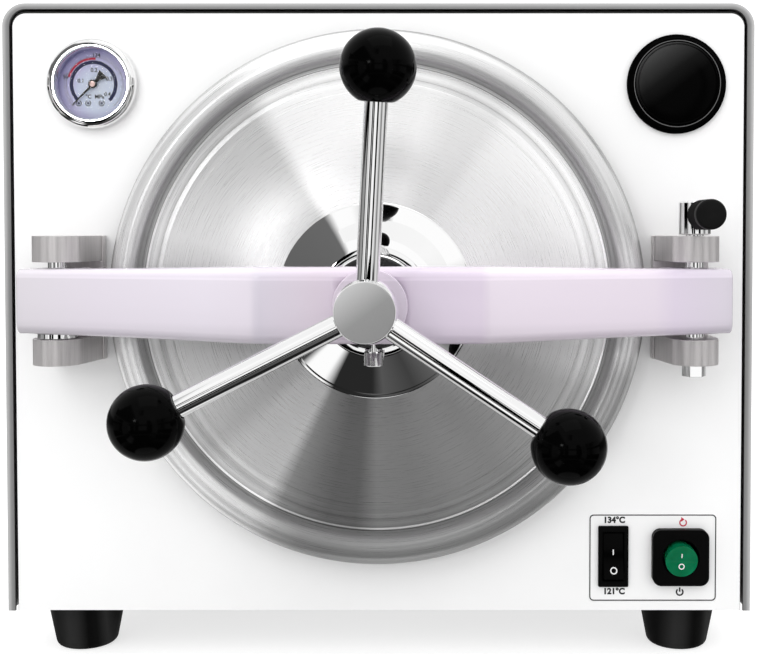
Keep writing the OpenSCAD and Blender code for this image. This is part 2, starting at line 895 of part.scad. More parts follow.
// The collar that the spindle turns in and that draws the lid back.
module lid_collar() {
    color("silver")
    at_axis() difference() {
        ring(collar_r, 0, cone_foot - 1, collar_out);
        ring(spindle_r + 0.3, 0, 42, collar_out + 1);
        translate([0, -8, collar_screw_out]) rotate([90, 0, 0]) cylinder(r = 3 + slack, h = 30);
    }
}

// The screw under the collar, whose point runs in the spindle's groove.
module collar_screw() {
    color("silver")
    at_axis(collar_screw_out) rotate([90, 0, 0]) {
        translate([0, 0, spindle_r + 0.8]) cylinder(r = 3, h = 18);
        translate([0, 0, collar_r + 0.4]) cylinder(r = 5.2, h = 7.6);
    }
}

// ---- Screw handle ----

module spindle() {
    color("silver")
    at_axis() ring(spindle_r, 0, 42.5, hub_out - 22);
}

module handle_hub() {
    body_r = 15;
    color("silver")
    at_axis() difference() {
        union() {
            ring(body_r, 0, hub_out - 28, hub_out - 5);
            translate([0, 0, hub_out - 5]) cylinder(r1 = body_r, r2 = 14.3, h = 4);
        }
        ring(spindle_r + 0.02, 0, hub_out - 30, hub_out - 21.9);
        for (arm = [0:2]) rod_line(arm) translate([0, 0, rod_start - 0.1]) cylinder(r = rod_r + 0.02, h = 20);
    }
}

module hub_cap() {
    color("darkgray") at_axis() ring(14.1, 0, hub_out - 1, hub_out);
}

// Local Z runs along one rod, from the spindle's axis to the ball's centre.
module rod_line(arm) {
    rake = atan((hub_out - rod_root) / ball_reach);
    rotate([0, 0, 90 - handle_turn - arm * 120]) translate([0, 0, rod_root]) rotate([0, 90 - rake, 0]) children();
}

ball_along = norm([ball_reach, hub_out - rod_root]);
ball_flat = 15.7;
rod_start = 7;

module handle_rods() {
    color("silver")
    at_axis() for (arm = [0:2]) rod_line(arm)
        translate([0, 0, rod_start]) cylinder(r = rod_r, h = ball_along - rod_start - 4);
}

module ball_knobs() {
    color("black")
    at_axis() for (arm = [0:2]) rod_line(arm) translate([0, 0, ball_along]) difference() {
        sphere(r = ball_r);
        translate([0, 0, -ball_r - ball_flat]) cube([40, 40, 2 * ball_r], center = true);
        translate([0, 0, -ball_r]) cylinder(r = rod_r + 0.02, h = ball_r - 3.9);
    }
}

cover();
front_panel();
rear_panel();
base_plate();
rubber_feet();
foot_screws();
cabinet_screws();
chamber_shell();
mouth_frame();
chamber_insulation();
insulation_straps();
chamber_saddles();
heating_element();
heater_guard();
tray_rack();
instrument_trays();
hinge_bracket();
latch_bracket();
bracket_bolts();
hinge_pin();
hinge_washer();
gauge_case();
gauge_bezel();
gauge_dial();
gauge_lens();
gauge_needle();
gauge_tube();
timer_case();
timer_knob();
switch_label();
temperature_switch_case();
temperature_rocker();
power_switch_case();
power_rocker();
pressure_controllers();
exhaust_valve();
exhaust_pipe();
drain_spigot();
safety_valve();
safety_valve_ring();
terminal_block();
power_inlet();
wiring_harness();
latch_pin();
latch_head();
latch_grip();
latch_nut();
beam();
beam_nut();
lid_disc();
lid_gasket();
lid_cone();
lid_collar();
collar_screw();
spindle();
handle_hub();
hub_cap();
handle_rods();
ball_knobs();
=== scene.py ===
"""Looks for the benchtop autoclave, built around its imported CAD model.

Lengths in the tables and profiles below are millimetres; Blender objects are in metres.
A profile point is (radius, out): the distance from a round part's axis, and the distance
in front of the cabinet's front panel.
"""
import json
from math import acos, atan, cos, degrees, hypot, pi, radians, sin, sqrt

import bmesh
import bpy
from mathutils import Matrix, Vector


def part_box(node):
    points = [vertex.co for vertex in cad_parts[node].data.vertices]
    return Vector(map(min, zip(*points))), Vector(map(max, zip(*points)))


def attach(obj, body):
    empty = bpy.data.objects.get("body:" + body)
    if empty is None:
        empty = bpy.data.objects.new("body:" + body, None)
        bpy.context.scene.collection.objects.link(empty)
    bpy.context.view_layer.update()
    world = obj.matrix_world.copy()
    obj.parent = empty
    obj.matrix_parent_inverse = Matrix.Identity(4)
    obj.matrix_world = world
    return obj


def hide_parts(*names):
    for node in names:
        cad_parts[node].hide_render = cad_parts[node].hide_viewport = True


MM = 0.001
TURN = 2 * pi
# Turns a piece built upwards so that it faces the front.
FORWARD = Matrix.Rotation(radians(90), 4, "X")

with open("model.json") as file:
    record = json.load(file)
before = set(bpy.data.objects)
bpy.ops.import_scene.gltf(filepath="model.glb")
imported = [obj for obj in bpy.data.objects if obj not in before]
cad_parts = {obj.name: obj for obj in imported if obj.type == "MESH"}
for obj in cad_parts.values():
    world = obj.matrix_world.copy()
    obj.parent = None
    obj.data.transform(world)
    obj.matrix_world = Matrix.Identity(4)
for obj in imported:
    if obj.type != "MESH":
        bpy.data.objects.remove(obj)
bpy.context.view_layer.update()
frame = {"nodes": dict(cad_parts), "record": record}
nodes = frame["nodes"]


def middle(node):
    """Middle of a CAD node's box."""
    low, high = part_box(node)
    return (low + high) / 2


PANEL_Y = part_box("front_panel")[0].y
AXIS = middle("lid_disc")
GAUGE = middle("gauge_bezel")
TIMER = middle("timer_knob")
TEMP = middle("temperature_switch_case")
POWER = middle("power_switch_case")
LABEL = middle("switch_label")
HINGE = middle("hinge_pin")
LATCH = middle("latch_pin")
FOOT_RADIUS = 22.3
FOOT_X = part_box("rubber_feet")[1].x / MM - FOOT_RADIUS
COVER_CORNER = 13
# A handle rod runs this far out from the spindle's axis, and rises this far forward on the way.
ROD_REACH = 111.4
ROD_RISE = 11.5
HUB_RADIUS = 15.0


def out_of_panel(node):
    """How far a CAD node stands in front of the panel, in mm."""
    return (PANEL_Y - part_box(node)[0].y) / MM


# ---- Materials ----

class Nodes:
    """A short way to write the node tree of a material or of the world."""

    def __init__(self, owner, shader):
        self.owner = owner
        owner.use_nodes = True
        self.tree = owner.node_tree
        self.shader = self.tree.nodes[shader]

    def add(self, kind, **settings):
        node = self.tree.nodes.new(kind)
        for key, value in settings.items():
            setattr(node, key, value)
        return node

    def link(self, source, target):
        self.tree.links.new(source, target)

    def set(self, **inputs):
        for name, value in inputs.items():
            self.shader.inputs[name.replace("_", " ")].default_value = value

    def coords(self):
        return self.add("ShaderNodeTexCoord").outputs["Object"]

    def axes(self, vector=None):
        """X, Y and Z of a vector, or of the shaded point in its object's space."""
        parts = self.add("ShaderNodeSeparateXYZ")
        self.link(vector or self.coords(), parts.inputs[0])
        return [parts.outputs[axis] for axis in "XYZ"]

    def from_point(self, point):
        """The shaded point seen from another point."""
        shift = self.add("ShaderNodeVectorMath", operation="SUBTRACT")
        self.link(self.coords(), shift.inputs[0])
        shift.inputs[1].default_value = point
        return shift.outputs["Vector"]

    def stretched(self, scale):
        mapping = self.add("ShaderNodeMapping")
        mapping.inputs["Scale"].default_value = scale
        self.link(self.coords(), mapping.inputs["Vector"])
        return mapping.outputs["Vector"]

    def noise(self, scale, detail=3, rough=0.5, vector=None):
        node = self.add("ShaderNodeTexNoise")
        node.inputs["Scale"].default_value = scale
        node.inputs["Detail"].default_value = detail
        node.inputs["Roughness"].default_value = rough
        self.link(vector or self.coords(), node.inputs["Vector"])
        return node.outputs["Fac"]

    def spread(self, value, low, high, start=0.3, end=0.7):
        """Maps value from start..end to low..high."""
        node = self.add("ShaderNodeMapRange")
        for key, number in (("From Min", start), ("From Max", end), ("To Min", low), ("To Max", high)):
            node.inputs[key].default_value = number
        self.link(value, node.inputs["Value"])
        return node.outputs["Result"]

    def ramp(self, value, stops):
        node = self.add("ShaderNodeValToRGB")
        band = node.color_ramp
        while len(band.elements) < len(stops):
            band.elements.new(0.5)
        for element, (place, colour) in zip(band.elements, stops):
            element.position = place
            element.color = (*colour, 1)
        self.link(value, node.inputs["Fac"])
        return node.outputs["Color"]

    def math(self, operation, a, b=0.0):
        node = self.add("ShaderNodeMath", operation=operation)
        for socket, value in zip(node.inputs, (a, b)):
            if isinstance(value, (int, float)):
                socket.default_value = value
            else:
                self.link(value, socket)
        return node.outputs["Value"]

    def inside(self, value, low, high):
        """1 where value lies between low and high, else 0."""
        above = self.math("GREATER_THAN", value, low)
        return self.math("MULTIPLY", above, self.math("LESS_THAN", value, high))

    def hypotenuse(self, a, b):
        return self.math("SQRT", self.math("ADD", self.math("MULTIPLY", a, a), self.math("MULTIPLY", b, b)))

    def clock(self, across, upwards):
        """0..1 clockwise from twelve o'clock."""
        turns = self.math("DIVIDE", self.math("ARCTAN2", across, upwards), TURN)
        return self.math("FRACT", self.math("ADD", turns, 1.0))

    def scaled(self, colour, factor):
        mix = self.add("ShaderNodeVectorMath", operation="SCALE")
        self.link(colour, mix.inputs[0])
        self.link(factor, mix.inputs["Scale"])
        return mix.outputs["Vector"]

    def blend(self, factor, a, b):
        """Colour a where factor is 0 and colour b where it is 1."""
        node = self.add("ShaderNodeMixRGB")
        for socket, value in zip(node.inputs, (factor, a, b)):
            if isinstance(value, tuple):
                socket.default_value = value
            else:
                self.link(value, socket)
        return node.outputs["Color"]

    def bump(self, height, strength, distance=0.0002):
        node = self.add("ShaderNodeBump")
        node.inputs["Strength"].default_value = strength
        node.inputs["Distance"].default_value = distance
        self.link(height, node.inputs["Height"])
        self.link(node.outputs["Normal"], self.shader.inputs["Normal"])

    def colour(self, source):
        self.link(source, self.shader.inputs["Base Color"])

    def roughness(self, source):
        self.link(source, self.shader.inputs["Roughness"])

    def worn(self, low, high, *noise):
        """Roughness that drifts between low and high."""
        self.roughness(self.spread(self.noise(*noise), low, high))


def material(name):
    return Nodes(bpy.data.materials.new(name), "Principled BSDF")


def grey(value, tint=(1, 1, 1)):
    return tuple(value * t for t in tint)


def greys(stops):
    """Ramp stops in grey, from (place, lightness) pairs."""
    return [(place, grey(value)) for place, value in stops]


def mottled(m, low, high, scale, detail=4):
    """A base colour that drifts between two close colours."""
    m.colour(m.ramp(m.noise(scale, detail), [(0.3, low), (0.7, high)]))


def film(name):
    """Printed film with a faint orange peel and uneven gloss."""
    m = material(name)
    mottled(m, grey(0.86), grey(0.90), 9)
    m.worn(0.31, 0.41, 14, 5)
    m.bump(m.noise(420, 2), 0.03)
    return m.owner


# Where along the beam, in mm from its middle, and the enamel's colour there, with painted light.
# Each facet's tone paints the light it catches.
BEAM_TONES_WITH_FACET_LIGHT = [
    (-190, (0.58, 0.55, 0.59)), (-143, (0.62, 0.575, 0.64)), (-85, (0.665, 0.62, 0.69)),
    (-60, (0.66, 0.61, 0.68)), (-56, (0.595, 0.555, 0.63)), (-28, (0.62, 0.545, 0.625)),
    (30, (0.625, 0.55, 0.655)), (55, (0.63, 0.55, 0.655)), (59, (0.70, 0.63, 0.71)),
    (145, (0.67, 0.60, 0.68)), (156, (0.62, 0.55, 0.655)), (190, (0.585, 0.545, 0.61)),
]
BEAM_REACH = 190
# Height above the beam's middle, and how light it is there: painted shade underneath, with a fine painted
# highlight line.
BEAM_PAINTED_SHADING = [
    (-19, 0.76), (-15, 0.84), (-9, 0.98), (0, 1.0), (12.4, 1.0), (12.9, 1.13), (13.6, 1.12), (14, 1.07),
    (19, 1.2),
]
BEAM_RISE = 19


def beam_enamel(name):
    """Lavender enamel with a faint orange peel, with painted light on its facets and painted shade
    underneath.
    """
    m = material(name)
    x, _, z = m.axes()
    # Each facet's painted light along the beam.
    along = m.ramp(m.spread(x, 0, 1, -BEAM_REACH * MM, BEAM_REACH * MM),
                   [((spot / BEAM_REACH + 1) / 2, colour) for spot, colour in BEAM_TONES_WITH_FACET_LIGHT])
    height = m.spread(z, 0, 1, AXIS.z - BEAM_RISE * MM, AXIS.z + BEAM_RISE * MM)
    # Painted shade underneath and a painted highlight line near the top.
    shade = m.ramp(height, [((spot / BEAM_RISE + 1) / 2, grey(value / 2)) for spot, value in BEAM_PAINTED_SHADING])
    m.colour(m.scaled(along, m.math("MULTIPLY", shade, 2.0)))
    m.worn(0.16, 0.26, 14, 5)
    m.set(Coat_Weight=0.4, Coat_Roughness=0.12)
    m.bump(m.noise(420, 2), 0.03)
    return m.owner


def edge_distance(m):
    """How far inside the cabinet's outline a point lies, seen from the front, in mm."""
    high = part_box("cover")[1]
    corner = COVER_CORNER * MM
    x, _, z = m.axes()
    beyond_x = m.math("MAXIMUM", m.math("SUBTRACT", m.math("ABSOLUTE", x), high.x - corner), 0)
    beyond_z = m.math("MAXIMUM", m.math("SUBTRACT", z, high.z - corner), 0)
    return m.math("MULTIPLY", m.math("SUBTRACT", corner, m.hypotenuse(beyond_x, beyond_z)), 1 / MM)


def cover_paint(name):
    """Grey textured paint with a fine grain, with a painted highlight towards its rounded outer edge and
    painted shade in the seam.
    """
    m = material(name)
    # Painted highlight on the rounded outer edge, going over to painted shade in the seam.
    painted_light_stops = [(0.0, 0.50), (0.2, 0.42), (0.45, 0.24), (0.78, 0.17), (0.8, 0.01)]
    edge = m.ramp(m.spread(edge_distance(m), 0, 1, 0, 5), greys(painted_light_stops))
    m.colour(m.blend(m.spread(m.noise(30, 3), 0, 0.05), edge, (0.2, 0.2, 0.2, 1)))
    m.worn(0.32, 0.46, 60, 4)
    m.bump(m.noise(1500, 3), 0.12)
    return m.owner


def panel_paint(name):
    """White enamel, with a painted shade line in the seam round its edge."""
    m = material(name)
    # A dark line painted where the seam lies in shade.
    seam = m.math("LESS_THAN", edge_distance(m), 5.5)
    white = m.ramp(m.noise(9, 4), greys([(0.3, 0.87), (0.7, 0.91)]))
    m.colour(m.blend(seam, white, (0.01, 0.01, 0.01, 1)))
    m.worn(0.30, 0.40, 14, 5)
    m.bump(m.noise(420, 2), 0.05)
    return m.owner


def chrome(name, tone=0.9, rough=0.02):
    """Plated or polished metal with faint smears."""
    m = material(name)
    m.set(Metallic=1.0)
    mottled(m, grey(tone * 0.97), grey(tone), 22)
    m.worn(rough * 0.6, rough * 1.7, 35, 6, 0.7)
    m.bump(m.noise(90, 2), 0.006)
    return m.owner


def drawn_metal(name, low, high, rough=0.3, stretch=(40, 40, 900), bump=0.12, metallic=1.0):
    """Metal with a grain along one direction."""
    m = material(name)
    grain = m.noise(1, 4, 0.6, m.stretched(stretch))
    m.set(Metallic=metallic)
    m.colour(m.ramp(grain, [(0.3, low), (0.7, high)]))
    m.roughness(m.spread(grain, rough - 0.04, rough + 0.05))
    m.bump(grain, bump)
    return m.owner


def moulded_plastic(name, tone, rough, ior):
    """Moulded plastic with a fine spark-eroded grain."""
    m = material(name)
    m.set(IOR=ior)
    mottled(m, grey(tone * 0.8), grey(tone * 1.25), 40)
    m.worn(rough - 0.06, rough + 0.08, 120, 4)
    m.bump(m.noise(2200, 2), 0.1)
    return m.owner


def gloss_black(name):
    """Polished phenolic with hair-fine scuffs."""
    m = material(name)
    mottled(m, grey(0.0003), grey(0.001), 30)
    m.worn(0.07, 0.16, 50, 6, 0.7)
    m.set(IOR=1.11)
    m.bump(m.noise(700, 2), 0.012)
    return m.owner


def rubber(name, tone, rough=0.62, drift=0.3):
    """Matte rubber with a chalky bloom and small pits."""
    m = material(name)
    m.set(Specular_IOR_Level=0.2)
    mottled(m, grey(tone * (1 - drift)), grey(tone * (1 + drift)), 55, 6)
    m.worn(rough - 0.1, rough + 0.1, 90, 4)
    m.bump(m.noise(900, 5), 0.2)
    return m.owner


# Painted soft upright sheens on a foot: mm right of its middle, and how light the rubber looks there.
FOOT_PAINTED_SHEENS = [
    (-22, 0.002), (-14, 0.004), (-5, 0.026), (0, 0.022), (6, 0.003), (11, 0.006), (15, 0.03), (20, 0.003),
]
FOOT_SPAN = 200


def foot_rubber(name):
    """Black rubber with two painted soft upright sheens, repeated on the left and the right feet."""
    m = material(name)
    m.set(Specular_IOR_Level=0.04)
    x, _, _ = m.axes()
    # Painted sheens, the same on each foot.
    stops = [(((side * FOOT_X + spot) / FOOT_SPAN + 1) / 2, tone)
             for side in (-1, 1) for spot, tone in FOOT_PAINTED_SHEENS]
    m.colour(m.ramp(m.spread(x, 0, 1, -FOOT_SPAN * MM, FOOT_SPAN * MM), greys(stops)))
    m.worn(0.5, 0.65, 90, 4)
    m.bump(m.noise(900, 5), 0.15)
    return m.owner


# Clock angle on the lid as a fraction of a turn from twelve o'clock, and how light the steel looks there:
# painted reflections in broad light and dark sectors.
LID_PAINTED_REFLECTIONS = [
    (0.00, 0.92), (0.017, 0.80), (0.04, 0.82), (0.065, 0.71), (0.09, 0.71), (0.105, 0.82), (0.16, 0.93),
    (0.195, 1.00), (0.22, 1.00), (0.24, 0.90), (0.28, 0.85), (0.30, 0.76), (0.318, 0.56), (0.38, 0.44),
    (0.40, 0.39), (0.43, 0.40), (0.467, 0.34), (0.50, 0.36), (0.515, 0.20), (0.535, 0.20), (0.55, 0.26),
    (0.57, 0.38), (0.582, 0.85), (0.62, 0.80), (0.635, 0.63), (0.68, 0.77), (0.715, 0.57), (0.765, 0.70),
    (0.80, 0.85), (0.87, 0.62), (0.905, 0.56), (0.92, 0.90),
]
# The same painted reflections for the round bead, which catches the light from other places.
BEAD_PAINTED_REFLECTIONS = [
    (0.00, 1.00), (0.033, 0.82), (0.067, 0.70), (0.10, 0.66), (0.167, 0.68), (0.20, 0.64), (0.217, 0.72),
    (0.235, 0.86), (0.26, 0.84), (0.285, 0.78), (0.30, 0.48), (0.32, 0.44), (0.38, 0.36), (0.40, 0.32),
    (0.44, 0.34), (0.50, 0.33), (0.535, 0.28), (0.55, 0.30), (0.567, 0.44), (0.583, 0.75), (0.62, 0.97),
    (0.64, 1.00), (0.66, 0.90), (0.70, 1.00), (0.717, 0.95), (0.733, 0.60), (0.75, 0.64), (0.77, 0.70),
    (0.80, 0.78), (0.90, 0.78), (0.93, 1.00),
]
# Painted shade in the crease between the face and the bead: how light it is.
CREASE_PAINTED_SHADE = 0.28
# Distance from the lid's centre in mm, and how light that ring is: painted light and shade on the steps and
# the bead, a painted highlight line beside the crease and painted shade at the outer edge.
LID_PAINTED_RINGS = [
    (0, 1.0), (119, 1.0), (121, 0.8), (123.5, 1.1), (126.3, 0.8), (126.6, 1.5), (127.4, 1.5), (127.6, 0.1),
    (128.3, 1.0), (132, 1.0), (135, 0.85), (138, 1.05), (145, 1.0), (146.5, 0.5), (150, 0.15),
]
LID_REACH = 150


def turned_steel(name, rough=0.3, streak=0.05):
    """Circular-brushed stainless: fine rings and anisotropic shine, with painted reflections in broad light
    and dark sectors and painted light and shade ring by ring.
    """
    m = material(name)
    x, _, z = m.axes(m.from_point((AXIS.x, 0, AXIS.z)))
    part = m.clock(x, z)
    radius = m.hypotenuse(x, z)
    polar = m.add("ShaderNodeCombineXYZ")
    m.link(m.math("MULTIPLY", radius, 3600.0), polar.inputs["X"])
    m.link(m.math("MULTIPLY", m.math("PINGPONG", part, 0.5), 25.0), polar.inputs["Y"])
    rings = m.noise(1, 3, 0.65, polar.outputs["Vector"])
    # Painted reflections: light and dark sectors on the face and on the bead.
    face = m.ramp(part, greys(LID_PAINTED_REFLECTIONS))
    bead = m.ramp(part, greys(BEAD_PAINTED_REFLECTIONS))
    # Painted shade in the crease, then the bead's painted reflections.
    tone = m.blend(m.spread(radius, 0, 0.85, 127.8 * MM, 128.6 * MM), face, (CREASE_PAINTED_SHADE, CREASE_PAINTED_SHADE, CREASE_PAINTED_SHADE, 1))
    tone = m.blend(m.spread(radius, 0, 1, 132.2 * MM, 134.5 * MM), tone, bead)
    streaks = m.spread(rings, 1 - streak, 1 + streak, 0.25, 0.75)
    # Painted light and shade ring by ring.
    painted_ring_light = m.ramp(m.math("MULTIPLY", radius, 1 / (LID_REACH * MM)),
                   [(spot / LID_REACH, grey(value / 2)) for spot, value in LID_PAINTED_RINGS])
    m.colour(m.scaled(tone, m.math("MULTIPLY", m.math("MULTIPLY", painted_ring_light, 2.0), streaks)))
    m.set(Metallic=0.55, Anisotropic=0.6)
    m.roughness(m.spread(rings, rough - 0.06, rough + 0.08))
    tangent = m.add("ShaderNodeCombineXYZ")
    m.link(z, tangent.inputs["X"])
    m.link(m.math("MULTIPLY", x, -1.0), tangent.inputs["Z"])
    world = m.add("ShaderNodeVectorTransform", vector_type="VECTOR", convert_from="OBJECT",
                  convert_to="WORLD")
    m.link(tangent.outputs["Vector"], world.inputs[0])
    m.link(world.outputs["Vector"], m.shader.inputs["Tangent"])
    m.bump(rings, 0.05, 0.0001)
    return m.owner


def diagonal(m, middle_of, low, high):
    """0..1 from the lower right to the upper left of a small round part, low..high mm from its middle."""
    slope = m.add("ShaderNodeVectorMath", operation="DOT_PRODUCT")
    m.link(m.coords(), slope.inputs[0])
    slope.inputs[1].default_value = (-0.6, 0, 0.8)
    centre = -0.6 * middle_of.x + 0.8 * middle_of.z
    return m.spread(slope.outputs["Value"], 0, 1, centre + low * MM, centre + high * MM)


def hub_face(name):
    """Fine satin nickel, with painted light towards the upper left."""
    m = material(name)
    # Painted light: lighter towards the upper left, darker towards the lower right.
    m.colour(m.ramp(diagonal(m, AXIS, -13, 13), greys([(0.0, 0.33), (0.45, 0.36), (1.0, 0.66)])))
    m.set(Metallic=0.6)
    m.worn(0.38, 0.48, 900, 3)
    m.bump(m.noise(1400, 2), 0.03)
    return m.owner


def flat_print(name, colour, rough=0.5):
    """Printed ink with slightly uneven cover."""
    m = material(name)
    mottled(m, tuple(0.9 * c for c in colour), colour, 260)
    m.worn(rough - 0.08, rough + 0.08, 300, 2)
    return m.owner


def dial_card(name):
    """Pale blue dial, violet near its edge, with painted shade at the top left."""
    m = material(name)
    length = m.add("ShaderNodeVectorMath", operation="LENGTH")
    # Painted shade: darker away from a point below and right of the middle.
    m.link(m.from_point((GAUGE.x + 3 * MM, GAUGE.y, GAUGE.z - 4 * MM)), length.inputs[0])
    shade = m.spread(length.outputs["Value"], 0, 1, 0, 0.025)
    m.colour(m.ramp(shade, [(0.0, (0.70, 0.76, 0.86)), (0.45, (0.62, 0.68, 0.84)), (0.7, (0.52, 0.50, 0.74)),
                            (0.88, (0.36, 0.34, 0.60)), (1.0, (0.16, 0.15, 0.36))]))
    m.set(Roughness=0.4)
    m.bump(m.noise(900, 2), 0.05)
    return m.owner


def painted_sheen_black(name):
    """Black lacquer with a painted soft grey reflection towards the timer's top left."""
    m = material(name)
    # Painted reflection, lightest at the top left.
    painted_light_stops = [(0.0, 0.0006), (0.35, 0.006), (0.7, 0.026), (1.0, 0.05)]
    m.colour(m.ramp(diagonal(m, TIMER, -2, 23), greys(painted_light_stops)))
    m.worn(0.22, 0.3, 50, 5)
    m.set(IOR=1.1)
    m.bump(m.noise(700, 2), 0.01)
    return m.owner


def clear_glass(name):
    """Thin clear glass with faint smears."""
    m = material(name)
    m.set(Base_Color=(1, 1, 1, 1), Transmission_Weight=1.0, IOR=1.05)
    m.worn(0.0, 0.03, 60, 3)
    return m.owner


def lit_green(name):
    """Translucent green rocker with a faint moulded texture."""
    m = material(name)
    mottled(m, (0.0, 0.12, 0.045), (0.001, 0.17, 0.07), 120)
    m.worn(0.12, 0.24, 200, 3)
    m.set(Coat_Weight=0.4, Coat_Roughness=0.05, Subsurface_Weight=0.15)
    m.bump(m.noise(800, 2), 0.03)
    return m.owner


def wool(name):
    """Yellow glass wool, fibrous and deep."""
    m = material(name)
    fibre = m.noise(1, 6, 0.7, m.stretched((300, 120, 300)))
    m.colour(m.ramp(fibre, [(0.3, (0.50, 0.40, 0.14)), (0.7, (0.78, 0.68, 0.36))]))
    m.set(Roughness=0.95)
    m.bump(fibre, 0.6, 0.001)
    return m.owner


SATIN_TINT = (1.0, 0.965, 0.965)
# Each slot's material: the function that makes it, and its settings.
RECIPES = {
    "grey_paint": (cover_paint,),
    "white_paint": (panel_paint,),
    "beam_paint": (beam_enamel,),
    "zinc_steel": (drawn_metal, grey(0.50), grey(0.66), 0.36, (60, 300, 60)),
    "stainless": (drawn_metal, grey(0.60), grey(0.66), 0.3, (120, 120, 2600), 0.03),
    "lid_steel": (turned_steel,),
    "satin_grey": (drawn_metal, grey(0.64, SATIN_TINT), grey(0.76, SATIN_TINT), 0.36, (700, 700, 30),
                   0.10, 0.75),
    "chrome": (chrome,),
    # Very dark chrome: painted shade on the thrust collar under the hub.
    "dark_chrome": (chrome, 0.05, 0.2),
    "hub_satin": (hub_face,),
    "brass": (drawn_metal, (0.60, 0.40, 0.16), (0.72, 0.52, 0.25), 0.25),
    "copper": (drawn_metal, (0.62, 0.28, 0.17), (0.76, 0.38, 0.24), 0.28),
    "rubber": (rubber, 0.002),
    "foot_rubber": (foot_rubber,),
    "silicone": (rubber, 0.55, 0.5, 0.06),
    "glass_wool": (wool,),
    "black_gloss": (gloss_black,),
    "timer_black": (painted_sheen_black,),
    "matte_black": (moulded_plastic, 0.0006, 0.5, 1.07),
    "black_plastic": (moulded_plastic, 0.002, 0.4, 1.13),
    "green_plastic": (lit_green,),
    "label_film": (film,),
    "dial_print": (dial_card,),
    "needle_black": (flat_print, grey(0.004), 0.35),
    "boss_copper": (drawn_metal, (0.72, 0.50, 0.46), (0.86, 0.66, 0.62), 0.3, (900, 900, 900), 0.02),
    "clear_lens": (clear_glass,),
    "pale_plastic": (moulded_plastic, 0.6, 0.45, 1.45),
    "cable": (rubber, 0.012, 0.5),
    "ink_black": (flat_print, grey(0.004)),
    "ink_grey": (flat_print, grey(0.12)),
    "ink_white": (flat_print, grey(0.85)),
    "ink_red": (flat_print, (0.55, 0.012, 0.05)),
    "ink_navy": (flat_print, (0.005, 0.008, 0.06)),
}
MATERIALS = {name: make(name, *settings) for name, (make, *settings) in RECIPES.items()}
SLOT_OF = {part["node"]: part["material_slot"] for part in frame["record"]["subparts"]}


# ---- Mesh helpers ----

def show(name, data):
    """A new object in the scene."""
    obj = bpy.data.objects.new(name, data)
    bpy.context.scene.collection.objects.link(obj)
    return obj


def baked(obj):
    """A mesh of an object as it shows, modifiers and all."""
    bpy.context.view_layer.update()
    return bpy.data.meshes.new_from_object(obj.evaluated_get(bpy.context.evaluated_depsgraph_get()))


def mesh_of(name, bm):
    """A mesh from a bmesh, which is freed."""
    mesh = bpy.data.meshes.new(name)
    bm.to_mesh(mesh)
    bm.free()
    return mesh


def finish_mesh(name, bm, material, smooth=32):
    """Makes an object of a bmesh: outward faces, smooth where the surface turns gently."""
    bmesh.ops.remove_doubles(bm, verts=bm.verts, dist=1e-7)
    bmesh.ops.recalc_face_normals(bm, faces=bm.faces)
    mesh = mesh_of(name, bm)
    mesh.shade_smooth()
    mesh.set_sharp_from_angle(angle=radians(smooth))
    mesh.materials.append(MATERIALS[material])
    return show(name, mesh)


def wrap(bm, a, b):
    """Joins two equal loops of vertices with a band of faces."""
    for i in range(len(a)):
        j = (i + 1) % len(a)
        bm.faces.new((a[i], a[j], b[j], b[i]))


def loft(bm, loops):
    """A closed skin over a row of equal loops."""
    for a, b in zip(loops, loops[1:]):
        wrap(bm, a, b)
    bm.faces.new(loops[0])
    bm.faces.new(loops[-1])


def place(obj, body, *replaced, slot=None):
    """Puts a piece on its body, and hides the CAD nodes it stands for."""
    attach(obj, body)
    if replaced:
        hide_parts(*replaced)
    return obj


def lathe(name, profile, centre, material, steps=160, closed=False, axis="Y", smooth=32):
    """Turns a profile of (radius, out) round the axis through centre. Axis Z measures out upwards."""
    bm = bmesh.new()
    loops = []
    for step in range(steps):
        angle = TURN * step / steps
        c, s = cos(angle), sin(angle)
        row = []
        for radius, out in profile:
            if axis == "Y":
                spot = (centre.x + radius * MM * c, PANEL_Y - out * MM, centre.z + radius * MM * s)
            else:
                spot = (centre.x + radius * MM * c, centre.y + radius * MM * s, centre.z + out * MM)
            row.append(bm.verts.new(spot))
        loops.append(row)
    count = len(profile)
    spans = range(count) if closed else range(count - 1)
    for step in range(steps):
        a, b = loops[step], loops[(step + 1) % steps]
        for i in spans:
            j = (i + 1) % count
            corners = [a[i], b[i], b[j], a[j]]
            if profile[i][0] == 0:
                corners = [a[i], b[j], a[j]]
            if profile[j][0] == 0:
                corners = [a[i], b[i], a[j]]
            bm.faces.new(corners)
    return finish_mesh(name, bm, material, smooth)


def arc(cx, cy, radius, start, end, count):
    """Points along a circular arc, angles in degrees."""
    steps = [radians(start + (end - start) * i / count) for i in range(count + 1)]
    return [(cx + radius * cos(t), cy + radius * sin(t)) for t in steps]


def front_loop(bm, points, centre, out):
    """Vertices at (x, z) points about centre, standing out mm in front of the panel."""
    return [bm.verts.new((centre.x + x * MM, PANEL_Y - out * MM, centre.z + z * MM)) for x, z in points]


def plate(name, outline, centre, out, thick, material, body, slot):
    """A flat mark standing on the front: an outline of (x, z) points about centre."""
    bm = bmesh.new()
    loft(bm, [front_loop(bm, outline, centre, depth) for depth in (out, out + thick)])
    return place(finish_mesh(name, bm, material), body, slot=slot)


def band(inner, outer, start, end, count=48):
    """Outline of part of a ring. Clock degrees: 0 is up and they run clockwise."""
    angles = [radians(start + (end - start) * i / count) for i in range(count + 1)]
    spots = [(outer, t) for t in angles] + [(inner, t) for t in reversed(angles)]
    return [(radius * sin(t), radius * cos(t)) for radius, t in spots]


